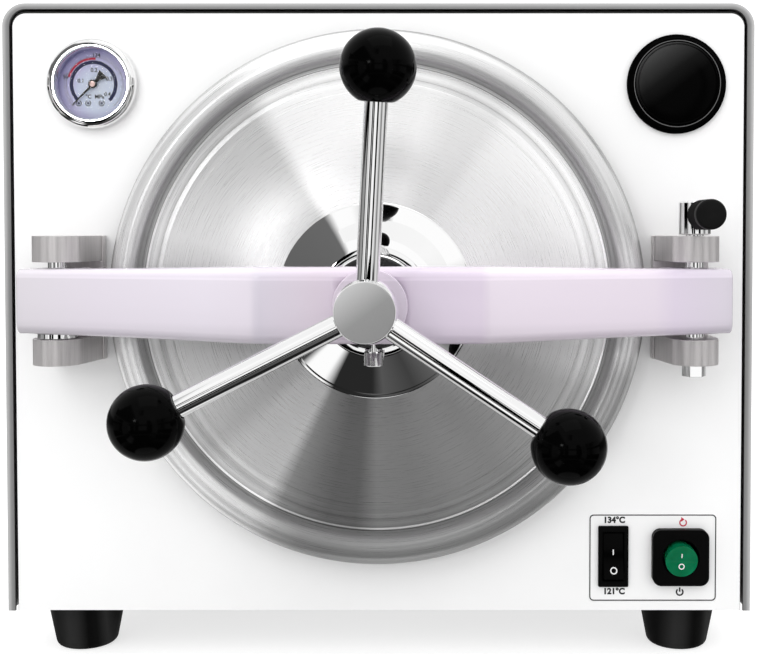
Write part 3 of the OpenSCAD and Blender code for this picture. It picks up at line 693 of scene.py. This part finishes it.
def text_mark(name, words, centre, x, z, size, out, material, body, slot, weight=0.0):
    """Small printed figures on the front, as a mesh."""
    curve = bpy.data.curves.new(name, "FONT")
    curve.body = words
    curve.size = size * MM
    curve.align_x = "CENTER"
    curve.align_y = "CENTER"
    curve.extrude = 0.03 * MM
    curve.offset = weight * MM
    temporary = show(name + "_curve", curve)
    mesh = baked(temporary)
    bpy.data.objects.remove(temporary)
    mesh.transform(FORWARD)
    mesh.transform(Matrix.Translation((centre.x + x * MM, PANEL_Y - out * MM, centre.z + z * MM)))
    mesh.materials.clear()
    mesh.materials.append(MATERIALS[material])
    return place(show(name, mesh), body, slot=slot)


# ---- CAD nodes that stay, with softened edges ----

SOFT_EDGES = {
    "cover": 1.0, "front_panel": 0.4, "rear_panel": 0.4, "base_plate": 0.3, "foot_screws": 0.2,
    "cabinet_screws": 0.2, "mouth_frame": 0.4, "hinge_bracket": 0.7, "latch_bracket": 0.7,
    "bracket_bolts": 0.3, "hinge_pin": 0.4, "hinge_washer": 0.3, "latch_nut": 0.3,
    "temperature_switch_case": 0.35, "temperature_rocker": 0.4, "power_switch_case": 0.9,
    "power_rocker": 0.35, "beam_nut": 0.6, "drain_spigot": 0.3, "safety_valve": 0.3,
    "power_inlet": 0.4, "terminal_block": 0.3, "exhaust_valve": 0.5, "pressure_controllers": 0.5,
}


def soften(node, width):
    """Merges flat facets and rounds the sharp edges of a CAD node, with modifiers only."""
    obj = nodes[node]
    weld = obj.modifiers.new("weld", "WELD")
    weld.merge_threshold = 1e-6
    flat = obj.modifiers.new("flat", "DECIMATE")
    flat.decimate_type = "DISSOLVE"
    flat.angle_limit = radians(0.5)
    bevel = obj.modifiers.new("bevel", "BEVEL")
    bevel.width = width * MM
    bevel.segments = 3
    bevel.limit_method = "ANGLE"
    bevel.angle_limit = radians(38)
    shade = obj.modifiers.new("shade", "WEIGHTED_NORMAL")
    shade.keep_sharp = True


def dress_cad_nodes():
    """Gives every CAD node its slot's material, and softens the ones that show."""
    for name, obj in nodes.items():
        obj.data.materials.clear()
        obj.data.materials.append(MATERIALS[SLOT_OF[name]])
        obj.data.shade_smooth()
        obj.data.set_sharp_from_angle(angle=radians(32))
        if name in SOFT_EDGES:
            soften(name, SOFT_EDGES[name])


# ---- Lid ----

def make_lid():
    """The pressed steel disc: rolled bead, a crease whose bright line is painted in the steel's colour,
    shallow steps and a brushed face.
    """
    low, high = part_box("lid_disc")
    rim = (high.x - low.x) / 2 / MM
    foot = (PANEL_Y - high.y) / MM
    crown = out_of_panel("lid_disc")
    outer = arc(rim - 9.65, 13.5, 9.65, 150, 0, 26)
    face = [(0, crown), (56, crown), (112.5, 22.6), (113, 21.9), (117.5, 21.2), (118, 20.9), (120.5, 20.7),
            (121, 20.2), (126.2, 19.0), (127.0, 19.3), (127.8, 18.6)]
    back = [(rim, foot), (rim - 3, foot)] + arc(rim - 9.65, 13.5, 6.65, 0, 150, 20)
    back += [(119, 17.6), (56, crown - 3), (0, crown - 3)]
    obj = lathe("lid_face", face + outer + back, AXIS, "lid_steel", 256, smooth=24)
    place(obj, "lid_carriage", "lid_disc")


def make_cone():
    """Mirror cone, with a fine bright edge where it sits on the lid."""
    crown = out_of_panel("lid_disc")
    tip = out_of_panel("lid_cone")
    profile = [(25.3, crown), (52, crown), (52.3, crown + 0.4), (51.6, crown + 0.9), (50.6, crown + 1.1),
               (45, crown + 3.2), (38, crown + 6.1), (30, tip - 0.4), (28.2, tip), (25.3, tip)]
    obj = lathe("polished_cone", profile, AXIS, "chrome", 200, closed=True, smooth=40)
    place(obj, "lid_carriage", "lid_cone")


def make_collar():
    """The thrust collar in very dark chrome, a painted shade under the hub, with a bright edge, and the screw
    under it.
    """
    tip = out_of_panel("lid_collar")
    profile = [(9.4, 42), (9.4, tip - 0.6), (10, tip), (18, tip), (19, tip - 1.4), (23.4, tip - 1.6),
               (25, tip - 3), (25, 40), (9.4, 40)]
    # Its very dark chrome is a painted shade.
    obj = lathe("thrust_collar", profile, AXIS, "dark_chrome", 128, closed=True)
    place(obj, "lid_carriage", "lid_collar")
    edge = [(24.2, tip - 2.2), (25.03, tip - 2.9), (25.03, tip - 3.8), (24.2, tip - 3.8)]
    place(lathe("collar_edge", edge, AXIS, "chrome", 128, closed=True), "lid_carriage", slot="chrome")
    low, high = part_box("collar_screw")
    spot = Vector((AXIS.x, (low.y + high.y) / 2, low.z))
    radius = (high.x - low.x) / 2 / MM
    body = []
    for turn in range(20):
        body += [(radius - 0.35, 0.6 + turn * 0.33), (radius, 0.76 + turn * 0.33)]
    head = [(0, 0), (radius - 1, 0), (radius - 0.3, 0.4)] + body
    head += [(radius - 0.5, 7.6), (3, 7.6), (3, 22), (0, 22)]
    screw = lathe("pointed_screw", head, spot, "chrome", 40, axis="Z")
    place(screw, "lid_carriage", "collar_screw")


# ---- Beam ----

def beam_section(front, back, half, radius, points=7):
    """Rounded rectangle as (out, height) points, counter-clockwise from the front bottom corner."""
    corners = [(front - radius, -half + radius, -90), (front - radius, half - radius, 0),
               (back + 3, half - 3, 90), (back + 3, -half + 3, 180)]
    ring = []
    for index, (cx, cz, start) in enumerate(corners):
        r = radius if index < 2 else 3
        for k in range(points):
            t = radians(start + 90 * k / (points - 1))
            ring.append((cx + r * cos(t), cz + r * sin(t)))
    return ring


def smooth_path(points, spread, count):
    """A polyline of (x, value) with each inner corner rounded over spread mm."""
    path = [points[0]]
    for before, corner, after in zip(points, points[1:], points[2:]):
        a = Vector(corner) + (Vector(before) - Vector(corner)).normalized() * spread
        b = Vector(corner) + (Vector(after) - Vector(corner)).normalized() * spread
        for k in range(count + 1):
            t = k / count
            spot = (1 - t) ** 2 * a + 2 * t * (1 - t) * Vector(corner) + t * t * b
            path.append(tuple(spot))
    path.append(points[-1])
    return path


def value_at(path, x):
    """Height of a polyline of (x, value) at x."""
    for (x0, v0), (x1, v1) in zip(path, path[1:]):
        if x0 <= x <= x1:
            return v0 + (v1 - v0) * (x - x0) / max(x1 - x0, 1e-9)
    return path[-1][1]


def make_beam():
    """Painted beam, bowed forward over the lid, with rounded long edges and closed ends."""
    low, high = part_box("beam")
    half_length = (high.x - low.x) / 2 / MM
    crest = out_of_panel("beam")
    pin_out = (PANEL_Y - HINGE.y) / MM
    back_mid = out_of_panel("lid_collar") + 6 + 1.5
    end_back = pin_out - 13.5
    front_path = smooth_path([(0, crest), (57, crest), (half_length, 45)], 3, 6)
    back_path = smooth_path([(0, back_mid), (45, back_mid), (151, end_back + 17), (158, end_back),
                             (half_length, end_back)], 3, 4)
    tall_path = smooth_path([(0, 19.2), (60, 19.2), (130, 17.6), (half_length, 17)], 10, 4)
    steps = [0, 20, 38, 42, 45, 48, 50, 52, 54, 56, 58, 60, 62, 64, 66, 70, 80, 95, 110, 125, 138, 146,
             149, 151, 153, 155, 157, 158.5, 161, 165, 171, 177, 183]
    stations = [(x, 0.0) for x in steps]
    stations += [(half_length - 1.4 + 1.4 * sin(radians(a)), 1.4 * (1 - cos(radians(a))))
                 for a in (0, 18, 36, 54, 72, 90)]
    stations = [(-x, inset) for x, inset in reversed(stations)] + stations[1:]
    bm = bmesh.new()
    rings = []
    for x, inset in stations:
        front = value_at(front_path, abs(x)) - inset
        back = value_at(back_path, abs(x)) + inset
        half = value_at(tall_path, abs(x)) - inset
        section = beam_section(front, back, half, 5 - inset * 0.6)
        rings.append([bm.verts.new((x * MM, PANEL_Y - out * MM, AXIS.z + up * MM)) for out, up in section])
    loft(bm, rings)
    beam = finish_mesh("painted_beam", bm, "beam_paint", 40)
    cut_beam(beam)
    place(beam, "door_beam", "beam")


def cutter(bm):
    """A throwaway solid for one boolean cut."""
    bmesh.ops.recalc_face_normals(bm, faces=bm.faces)
    return show("cutter", mesh_of("cutter", bm))


def cut(target, tool):
    """Takes a cutter away from a piece for good."""
    modifier = target.modifiers.new("cut", "BOOLEAN")
    modifier.operation = "DIFFERENCE"
    modifier.solver = "EXACT"
    modifier.object = tool
    mesh = baked(target)
    target.modifiers.clear()
    target.data = mesh
    bpy.data.objects.remove(tool)


def rod_cutter(spot, radius, length, turn):
    bm = bmesh.new()
    bmesh.ops.create_cone(bm, cap_ends=True, segments=48, radius1=radius * MM, radius2=radius * MM,
                          depth=length * MM, matrix=Matrix.Translation(spot) @ turn)
    return cutter(bm)


def cut_beam(beam):
    """The nut's seat, the hinge pin's hole and the latch pin's keyhole."""
    upright = Matrix.Identity(4)
    cut(beam, rod_cutter(Vector((AXIS.x, PANEL_Y - 70 * MM, AXIS.z)), 15.06, 60, FORWARD))
    cut(beam, rod_cutter(Vector((HINGE.x, HINGE.y, AXIS.z)), 5.06, 60, upright))
    cut(beam, rod_cutter(Vector((LATCH.x, LATCH.y, AXIS.z)), 5.15, 60, upright))
    matrix = Matrix.Translation((LATCH.x, LATCH.y + 15 * MM, AXIS.z))
    throat = bmesh.new()
    bmesh.ops.create_cube(throat, size=1, matrix=matrix @ Matrix.Diagonal((7.5 * MM, 30 * MM, 60 * MM, 1)))
    cut(beam, cutter(throat))


# ---- Handle ----

def arm_frame(index):
    """Matrix whose local Z runs along one rod, from the spindle's axis outwards, in metres."""
    root = out_of_panel("hub_cap") - ROD_RISE
    rest_turn = 3.3
    rake = atan(ROD_RISE / ROD_REACH)
    clock = radians(rest_turn + index * 120)
    along = Vector((sin(clock) * cos(rake), -sin(rake), cos(clock) * cos(rake)))
    base = Vector((AXIS.x, PANEL_Y - root * MM, AXIS.z))
    return Matrix.Translation(base) @ along.to_track_quat("Z", "Y").to_matrix().to_4x4()


BALL_ALONG = hypot(ROD_REACH, ROD_RISE)


def turned_in_place(name, profile, matrix, material, steps):
    """A lathe part round the world's Z axis, then moved by a matrix."""
    obj = lathe(name, profile, Vector((0, 0, 0)), material, steps, axis="Z")
    obj.data.transform(matrix)
    return obj


def join(name, parts):
    """One object from several."""
    bm = bmesh.new()
    for part in parts:
        bm.from_mesh(part.data)
    mesh = mesh_of(name, bm)
    mesh.materials.append(parts[0].data.materials[0])
    obj = show(name, mesh)
    for part in parts:
        bpy.data.objects.remove(part)
    return obj


def make_handle():
    """Three rods and three balls with a flat where the rod enters."""
    radius, flat = 17.5, 15.7
    mouth = sqrt(radius ** 2 - flat ** 2)
    start = degrees(acos(-flat / radius))
    ball = [(0, -flat + 1.2), (5.6, -flat + 1.2), (5.9, -flat + 0.3), (6.4, -flat), (mouth - 0.6, -flat)]
    ball += [(radius * sin(radians(a)), radius * cos(radians(a)))
             for a in [start - 2.2 - (start - 2.2) * k / 60 for k in range(61)]]
    ball[-1] = (0, radius)
    rod = [(0, 7), (5.5, 7), (5.5, BALL_ALONG - 14.5), (0, BALL_ALONG - 14.5)]
    balls, rods = [], []
    for index in range(3):
        matrix = arm_frame(index)
        moved = matrix @ Matrix.Translation((0, 0, BALL_ALONG * MM))
        balls.append(turned_in_place(f"ball_{index}", ball, moved, "black_gloss", 96))
        rods.append(turned_in_place(f"rod_{index}", rod, matrix, "chrome", 72))
    place(join("ball_grips", balls), "handle", "ball_knobs")
    place(join("bright_rods", rods), "handle", "handle_rods")


def make_hub():
    face = out_of_panel("hub_cap")
    profile = [(0, face - 28), (HUB_RADIUS - 1.2, face - 28), (HUB_RADIUS, face - 26.8),
               (HUB_RADIUS, face - 4.5), (14.8, face - 3.4), (14.5, face - 1.9), (14.3, face - 1.2),
               (14.3, face - 1.0), (0, face - 1.0)]
    place(lathe("hub_body", profile, AXIS, "chrome", 128, smooth=40), "handle", "handle_hub")
    cap = [(0, face - 1), (14.1, face - 1), (14.1, face - 0.35), (13.75, face), (0, face)]
    place(lathe("hub_face", cap, AXIS, "hub_satin", 128), "handle", "hub_cap")


def make_spindle():
    """A trapezoid-thread screw; the CAD spindle is its plain core."""
    start, end = 42.5, out_of_panel("hub_cap") - 22
    pitch, steps, crest = 4.0, 48, 9.0
    bm = bmesh.new()
    rows = int((end - start) / 0.5) + 1
    grid = []
    for row in range(rows):
        out = start + (end - start) * row / (rows - 1)
        ring = []
        for step in range(steps):
            angle = TURN * step / steps
            phase = ((out + pitch * step / steps) / pitch) % 1.0
            depth = min(max(abs(phase - 0.5) * 6 - 0.9, 0), 1)
            threaded = 1.0 if 60 < out < end - 9 else 0.0
            radius = crest - 1.5 * threaded * (1 - depth)
            ring.append(bm.verts.new((AXIS.x + radius * MM * cos(angle), PANEL_Y - out * MM,
                                      AXIS.z + radius * MM * sin(angle))))
        grid.append(ring)
    loft(bm, grid)
    place(finish_mesh("threaded_spindle", bm, "chrome"), "handle", "spindle")


# ---- Gauge ----

def make_gauge():
    rim = 25.0
    bezel = [(21.15, 0), (rim - 0.4, 0), (rim, 0.5), (rim, 3.2)]
    bezel += arc(rim - 3.4, 4.0, 3.4, 0, 78, 12)
    bezel += [(20.4, 7.2), (19.9, 6.6), (19.5, 4.6), (19.3, 2.0), (19.3, 1.4), (21.15, 1.4)]
    place(lathe("gauge_rim", bezel, GAUGE, "chrome", 160, closed=True, smooth=40), "cabinet", "gauge_bezel")
    marks = {"body": "cabinet", "slot": "dial_print"}
    plate("pressure_arc", band(11.4, 13.4, -135, 135, 90), GAUGE, 0.0, 0.06, "ink_navy", **marks)
    plate("working_arc", band(13.75, 14.95, -73, 5), GAUGE, 0.0, 0.06, "ink_red", **marks)
    for index, (radius, start, end) in enumerate(((15.1, -135, 60), (16.4, -135, -70), (16.4, 10, 135))):
        plate(f"scale_line_{index}", band(radius, radius + 0.18, start, end, 90), GAUGE, 0.0, 0.05,
              "ink_grey", **marks)
    for index in range(21):
        angle = -135 + 270 * index / 20
        long = 1.5 if index % 5 == 0 else 0.8
        plate(f"tick_{index}", band(15.2, 15.2 + long, angle - 0.6, angle + 0.6, 1), GAUGE, 0.0, 0.05,
              "ink_grey", **marks)
    figures = [("0.1", -7.1, 2.0), ("0.2", 0.3, 7.9), ("0.3", 8.8, 3.1), ("0.4", 7.7, -5.5),
               ("°C", -2.9, -6.9), ("MPa", 3.2, -6.9), ("50", -15.6, 4.2), ("134", 1.6, 16.2)]
    for words, x, z in figures:
        name = "figure_" + "".join(letter for letter in words if letter.isalnum())
        text_mark(name, words, GAUGE, x, z, 3.1, 0.05, "ink_black", weight=0.06, **marks)
    for index, x in enumerate((-8.4, -3.1, 4.4)):
        spot = Vector((GAUGE.x + x * MM, 0, GAUGE.z - 10.5 * MM))
        plate(f"dial_ring_{index}", band(1.2, 1.65, 20, 340, 32), spot, 0.0, 0.05, "ink_black", **marks)
        plate(f"dial_spot_{index}", band(0.0, 0.7, 0, 359, 16), spot, 0.0, 0.05, "ink_navy", **marks)
    ring = [(0, 1.9), (2.4, 1.9), (2.4, 2.5), (2.0, 2.7), (0, 2.7)]
    place(lathe("needle_ring", ring, GAUGE, "needle_black", 48), "gauge_needle", slot="needle_black")
    cap = [(0, 2.7), (1.6, 2.7), (1.6, 2.9), (1.1, 3.2), (0, 3.3)]
    place(lathe("needle_boss", cap, GAUGE, "boss_copper", 48), "gauge_needle", slot="needle_black")


# ---- Controls ----

def make_timer():
    """A ring with a fine groove, its bright line a painted highlight in grey ink, and a low glossy knob."""
    ring = [(23.3, 0.6), (23.3, 3.9), (23.7, 4.25), (24.3, 4.3), (25.2, 4.2), (25.9, 3.3), (26.9, 3.0),
            (27.5, 2.5), (27.6, 2.0), (27.6, 0), (3.1, 0), (3.1, 0.6)]
    place(lathe("timer_ring", ring, TIMER, "matte_black", 160, closed=True, smooth=40), "cabinet",
          "timer_case")
    # A thin grey ring: the groove's painted highlight.
    groove = [(23.75, 4.22), (24.15, 4.22), (24.15, 4.32), (23.75, 4.32)]
    place(lathe("timer_groove_highlight", groove, TIMER, "ink_grey", 160, closed=True), "cabinet", slot="black_plastic")
    knob = [(0, 0.8), (22.6, 0.8), (23, 1.2), (23, 4.4), (22.8, 4.9), (22.4, 5.1), (22.1, 4.9), (21.9, 4.2),
            (21.6, 4.2), (21.4, 5.0), (21, 5.25), (12, 5.35), (0, 5.4)]
    place(lathe("timer_disc", knob, TIMER, "timer_black", 160, smooth=40), "timer", "timer_knob")


def outline_rect(width, height, radius):
    """A rectangle with round corners, as (x, z) points."""
    points = []
    for sx, sz, start in ((1, 1, 0), (-1, 1, 90), (-1, -1, 180), (1, -1, 270)):
        cx, cz = sx * (width / 2 - radius), sz * (height / 2 - radius)
        points += arc(cx, cz, radius, start, start + 90, 8)
    return points


def make_label():
    """The outline, the two temperatures, and plain symbols where words would be."""
    low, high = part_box("switch_label")
    width, height = (high.x - low.x) / MM, (high.z - low.z) / MM
    marks = {"body": "cabinet", "slot": "label_film"}
    outer = outline_rect(width - 0.4, height - 0.4, 2.4)
    inner = outline_rect(width - 1.6, height - 1.6, 1.9)
    bm = bmesh.new()
    rows = [front_loop(bm, points, LABEL, depth) for points in (outer, inner) for depth in (0.4, 0.5)]
    for a, b in ((0, 1), (1, 3), (3, 2), (2, 0)):
        wrap(bm, rows[a], rows[b])
    place(finish_mesh("label_outline", bm, "ink_black"), "cabinet", slot="label_film")
    for index, (words, z) in enumerate((("134°C", 20.4), ("121°C", -20.3))):
        text_mark(f"temperature_{index}", words, TEMP, 0.6, z, 4.7, 0.45, "ink_black", weight=0.22, **marks)
    restart = Vector((POWER.x + 2 * MM, 0, POWER.z + 19 * MM))
    plate("restart_ring", band(1.5, 2.2, 40, 330), restart, 0.4, 0.1, "ink_red", **marks)
    plate("restart_tip", [(-1.1, 3.2), (0.8, 1.85), (-1.1, 0.5)], restart, 0.4, 0.1, "ink_red", **marks)
    mains = Vector((POWER.x + 0.3 * MM, 0, POWER.z - 20.6 * MM))
    plate("mains_ring", band(1.4, 2.25, 38, 322), mains, 0.4, 0.1, "ink_black", **marks)
    plate("mains_bar", [(-0.42, 0.2), (0.42, 0.2), (0.42, 2.6), (-0.42, 2.6)], mains, 0.4, 0.1, "ink_black",
          **marks)


def rocker_marks(name, centre, body, slot, tilt, crest, slope, bar_up, ring_down, size):
    """A bar on the upper half of a rocker and a ring on the lower half, lying on its tilted faces.

    The rocker's middle stands crest mm out, and each half rises by slope away from it. A positive tilt,
    in degrees, presses the upper half in.
    """
    hinge = Vector((centre.x, PANEL_Y, centre.z))
    bar = [(-0.16, -0.75), (0.16, -0.75), (0.16, 0.75), (-0.16, 0.75)]
    rings = [band(0.68, 1.0, 0, 180, 24), band(0.68, 1.0, 180, 360, 24)]
    for part, height, outlines in (("bar", bar_up, [bar]), ("ring", -ring_down, rings)):
        bm = bmesh.new()
        for points in outlines:
            rows = []
            for depth in (0.03, 0.11):
                row = []
                for x, z in points:
                    up = height + z * size
                    out = crest + slope * abs(up) + depth
                    row.append(bm.verts.new((x * size * MM, -out * MM, up * MM)))
                rows.append(row)
            loft(bm, rows)
        obj = finish_mesh(f"{name}_{part}", bm, "ink_white")
        obj.data.transform(Matrix.Translation(hinge) @ Matrix.Rotation(-radians(tilt), 4, "X"))
        place(obj, body, slot=slot)


# ---- Latch, feet, back ----

def make_latch():
    """The turned head, its forward lever and a ridged rubber sleeve."""
    low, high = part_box("latch_head")
    top = (high.z - low.z) / MM
    foot = Vector((LATCH.x, LATCH.y, low.z))
    head = [(5.02, 0), (8.0, 0), (8.6, 0.6), (8.6, top - 0.9), (7.7, top), (0, top), (0, top - 2),
            (5.02, top - 2)]
    lever_z = low.z + 10.5 * MM
    place(lathe("latch_knuckle", head, foot, "chrome", 96, axis="Z"), "latch", "latch_head")
    arm = [(0, 0), (3.5, 0), (3.5, 33), (0, 33)]
    turn = Matrix.Translation((LATCH.x, LATCH.y, lever_z)) @ FORWARD
    place(turned_in_place("latch_arm", arm, turn, "chrome", 48), "latch", slot="chrome")
    glow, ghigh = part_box("latch_grip")
    radius = (ghigh.x - glow.x) / 2 / MM
    length = (ghigh.y - glow.y) / MM
    grip = [(3.55, 0), (radius - 0.6, 0)]
    for k in range(10):
        start = 1.0 + k * 1.6
        grip += [(radius - 0.15, start), (radius, start + 0.4), (radius - 0.15, start + 0.8),
                 (radius - 0.5, start + 1.2)]
    grip += [(radius - 0.1, 17.5), (radius - 0.05, length - 1.2)]
    grip += arc(radius - 1.3, length - 1.2, 1.2, 0, 90, 6)
    grip += [(0, length), (0, length - 5), (3.55, length - 5)]
    spot = Matrix.Translation((LATCH.x, ghigh.y, lever_z)) @ FORWARD
    place(turned_in_place("latch_sleeve", grip, spot, "rubber", 96), "latch", "latch_grip")


def make_feet():
    """Four tapered feet, hollow underneath round their screws."""
    low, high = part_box("rubber_feet")
    top = (high.z - low.z) / MM
    profile = [(7, 12), (7, 0.6), (7.6, 0), (13.8, 0)] + arc(13.8, 4, 4, -90, -12, 10)
    profile += [(FOOT_RADIUS - 0.4, top - 3.2), (FOOT_RADIUS, top - 2.6), (FOOT_RADIUS, top), (3.2, top),
                (3.2, 12)]
    inset = FOOT_RADIUS * MM
    feet = []
    for sx in (low.x + inset, high.x - inset):
        for sy in (low.y + inset, high.y - inset):
            feet.append(lathe("foot", profile, Vector((sx, sy, low.z)), "foot_rubber", 96, closed=True,
                              axis="Z"))
    place(join("tapered_feet", feet), "cabinet", "rubber_feet")


# ---- Stage ----

# What a shiny surface sees towards the camera: a white tent with dark gaps, as (place, lightness) pairs.
# Places run 0..1 clockwise from twelve o'clock, from left to right, or from below to above.
TENT_RING = [
    (0.00, 0.45), (0.012, 0.10), (0.022, 0.12), (0.034, 1.0), (0.17, 1.0), (0.20, 0.72), (0.31, 0.8),
    (0.333, 0.16), (0.355, 0.5), (0.378, 0.12), (0.43, 0.05), (0.485, 0.09), (0.505, 0.02), (0.575, 0.02),
    (0.595, 1.0), (0.632, 1.0), (0.645, 0.04), (0.668, 0.05), (0.69, 0.62), (0.76, 0.68), (0.80, 0.85),
    (0.812, 0.12), (0.915, 0.14), (0.93, 1.0), (0.96, 1.0), (1.0, 0.45),
]
TENT_ACROSS = [
    (0.0, 0.3), (0.035, 0.3), (0.04, 0.02), (0.09, 0.02), (0.095, 0.95), (0.23, 1.0), (0.24, 0.0),
    (0.32, 0.0), (0.325, 0.95), (0.34, 0.95), (0.345, 0.0), (0.43, 0.0), (0.435, 0.9), (0.63, 1.0),
    (0.645, 0.0), (0.795, 0.0), (0.80, 0.8), (0.86, 0.3), (0.90, 0.5), (0.94, 0.1), (0.98, 0.7), (1.0, 0.7),
]
# Behind the object, from below to above: a dim horizon under a white ceiling.
TENT_BEHIND = [(0.0, 0.6), (0.40, 0.5), (0.46, 0.12), (0.53, 0.12), (0.57, 0.8), (1.0, 1.0)]
TENT_UPWARDS = [
    (0.0, 0.85), (0.03, 0.85), (0.035, 0.02), (0.10, 0.0), (0.12, 0.1), (0.16, 0.3), (0.18, 0.02),
    (0.27, 0.0), (0.275, 0.6), (0.285, 0.6), (0.29, 0.0), (0.38, 0.0), (0.385, 0.95), (0.47, 1.0),
    (0.475, 0.0), (0.53, 0.0), (0.535, 0.85), (0.75, 0.95), (1.0, 0.9),
]


def tent(w):
    """Lightness of the tent in the direction a reflected ray takes."""
    x, y, z = w.axes(w.add("ShaderNodeTexCoord").outputs["Generated"])
    across = w.math("ADD", x, 0.055)
    upwards = w.math("ADD", z, 0.08)
    off = w.hypotenuse(across, upwards)
    clock = w.clock(across, upwards)
    level = w.math("MAXIMUM", w.inside(z, -0.24, 0.0), w.inside(z, 0.08, 0.26))
    height = w.spread(z, 0, 1, -1, 1)
    inner = w.blend(level, w.ramp(height, greys(TENT_UPWARDS)),
                    w.ramp(w.spread(x, 0, 1, -1, 1), greys(TENT_ACROSS)))
    corner = w.math("MULTIPLY", w.inside(clock, 0.80, 0.925), w.inside(off, 0.40, 0.99))
    ring = w.math("MAXIMUM", w.inside(off, 0.58, 0.80), corner)
    front = w.blend(ring, inner, w.ramp(clock, greys(TENT_RING)))
    return w.blend(w.math("GREATER_THAN", y, 0.1), front, w.ramp(height, greys(TENT_BEHIND)))


def make_stage():
    """A pale floor, a white surround and soft lights."""
    scene = bpy.context.scene
    bm = bmesh.new()
    bmesh.ops.create_grid(bm, x_segments=1, y_segments=1, size=12)
    floor = show("floor", mesh_of("floor", bm))
    m = material("floor_white")
    mottled(m, grey(0.48), grey(0.50), 3)
    m.set(Roughness=0.8, Specular_IOR_Level=0.1, Emission_Color=(1, 1, 1, 1))
    glow = m.spread(m.add("ShaderNodeLightPath").outputs["Is Camera Ray"], 0.18, 0.66, 0, 1)
    m.link(glow, m.shader.inputs["Emission Strength"])
    floor.data.materials.append(m.owner)
    floor.visible_glossy = False

    scene.world = bpy.data.worlds.new("studio")
    w = Nodes(scene.world, "Background")
    rays = w.add("ShaderNodeLightPath")
    w.link(w.blend(rays.outputs["Is Glossy Ray"], (1.18, 1.18, 1.18, 1), tent(w)), w.shader.inputs["Color"])
    w.set(Strength=1.1)
    scene.view_settings.view_transform = "Standard"


def soft_light(name, spot, target, width, height, power):
    """An area light at a spot in metres, aimed at a target."""
    light = bpy.data.lights.new(name, "AREA")
    light.shape = "RECTANGLE"
    light.size = width
    light.size_y = height
    light.energy = power
    obj = show(name, light)
    obj.location = spot
    obj.rotation_mode = "QUATERNION"
    obj.rotation_quaternion = (Vector(target) - Vector(spot)).to_track_quat("-Z", "Y")
    return obj


def leave_unlit(light, obj):
    """Keeps a light off one object, so that its reflection doesn't burn out there at a low angle."""
    group = bpy.data.collections.new(f"{light.name}_excluded")
    group.objects.link(obj)
    group.collection_objects[0].light_linking.link_state = "EXCLUDE"
    light.light_linking.receiver_collection = group


# Where the camera stands in mm, how many degrees it looks down, and its lens.
CAMERA_X = 34.0
CAMERA_Z = 243.9
CAMERA_OUT = 664.0
CAMERA_DOWN = 1.776
CAMERA_LENS = 56.18
SHIFT = {"shift_x": -0.0802, "shift_y": -0.0805}


def make_camera():
    """A camera straight in front. Its lens shift only holds while it stands there."""
    camera = bpy.data.cameras.new("camera")
    camera.lens = CAMERA_LENS
    camera.sensor_width = 36
    obj = show("camera", camera)
    home = PANEL_Y - CAMERA_OUT * MM
    obj.location = (CAMERA_X * MM, home, CAMERA_Z * MM)
    obj.rotation_euler = (radians(90 - CAMERA_DOWN), 0, 0)
    bpy.context.scene.camera = obj
    for name, value in SHIFT.items():
        driver = camera.driver_add(name).driver
        driver.type = "SCRIPTED"
        variable = driver.variables.new()
        variable.name = "y"
        variable.type = "SINGLE_PROP"
        variable.targets[0].id = obj
        variable.targets[0].data_path = "location[1]"
        driver.expression = f"{value} * (abs(y - {home:.6f}) < 0.0001)"


# ---- Build ----

dress_cad_nodes()
make_lid()
make_cone()
make_collar()
make_beam()
make_handle()
make_hub()
make_spindle()
make_gauge()
make_timer()
make_label()
rocker_marks("temperature_mark", TEMP, "temperature_key", "black_gloss", 9, 1.6, 0.116, 2.1, 8.0, 2.0)
rocker_marks("power_mark", POWER, "power_key", "green_plastic", -9, 7.0, 0.1, 3.2, 3.2, 1.7)
make_latch()
make_feet()
make_stage()
soft_light("key", (-0.9, -1.7, 1.5), (0, -0.1, 0.2), 1.4, 1.0, 8).visible_glossy = False
soft_light("top", (0.2, -0.6, 2.0), (0, 0, 0.2), 1.6, 1.2, 4)
catch = soft_light("catch", (-0.53, -1.46, 0.49), (0, -0.2, 0.2), 0.14, 0.10, 0.9)
leave_unlit(catch, nodes["cover"])
make_camera()
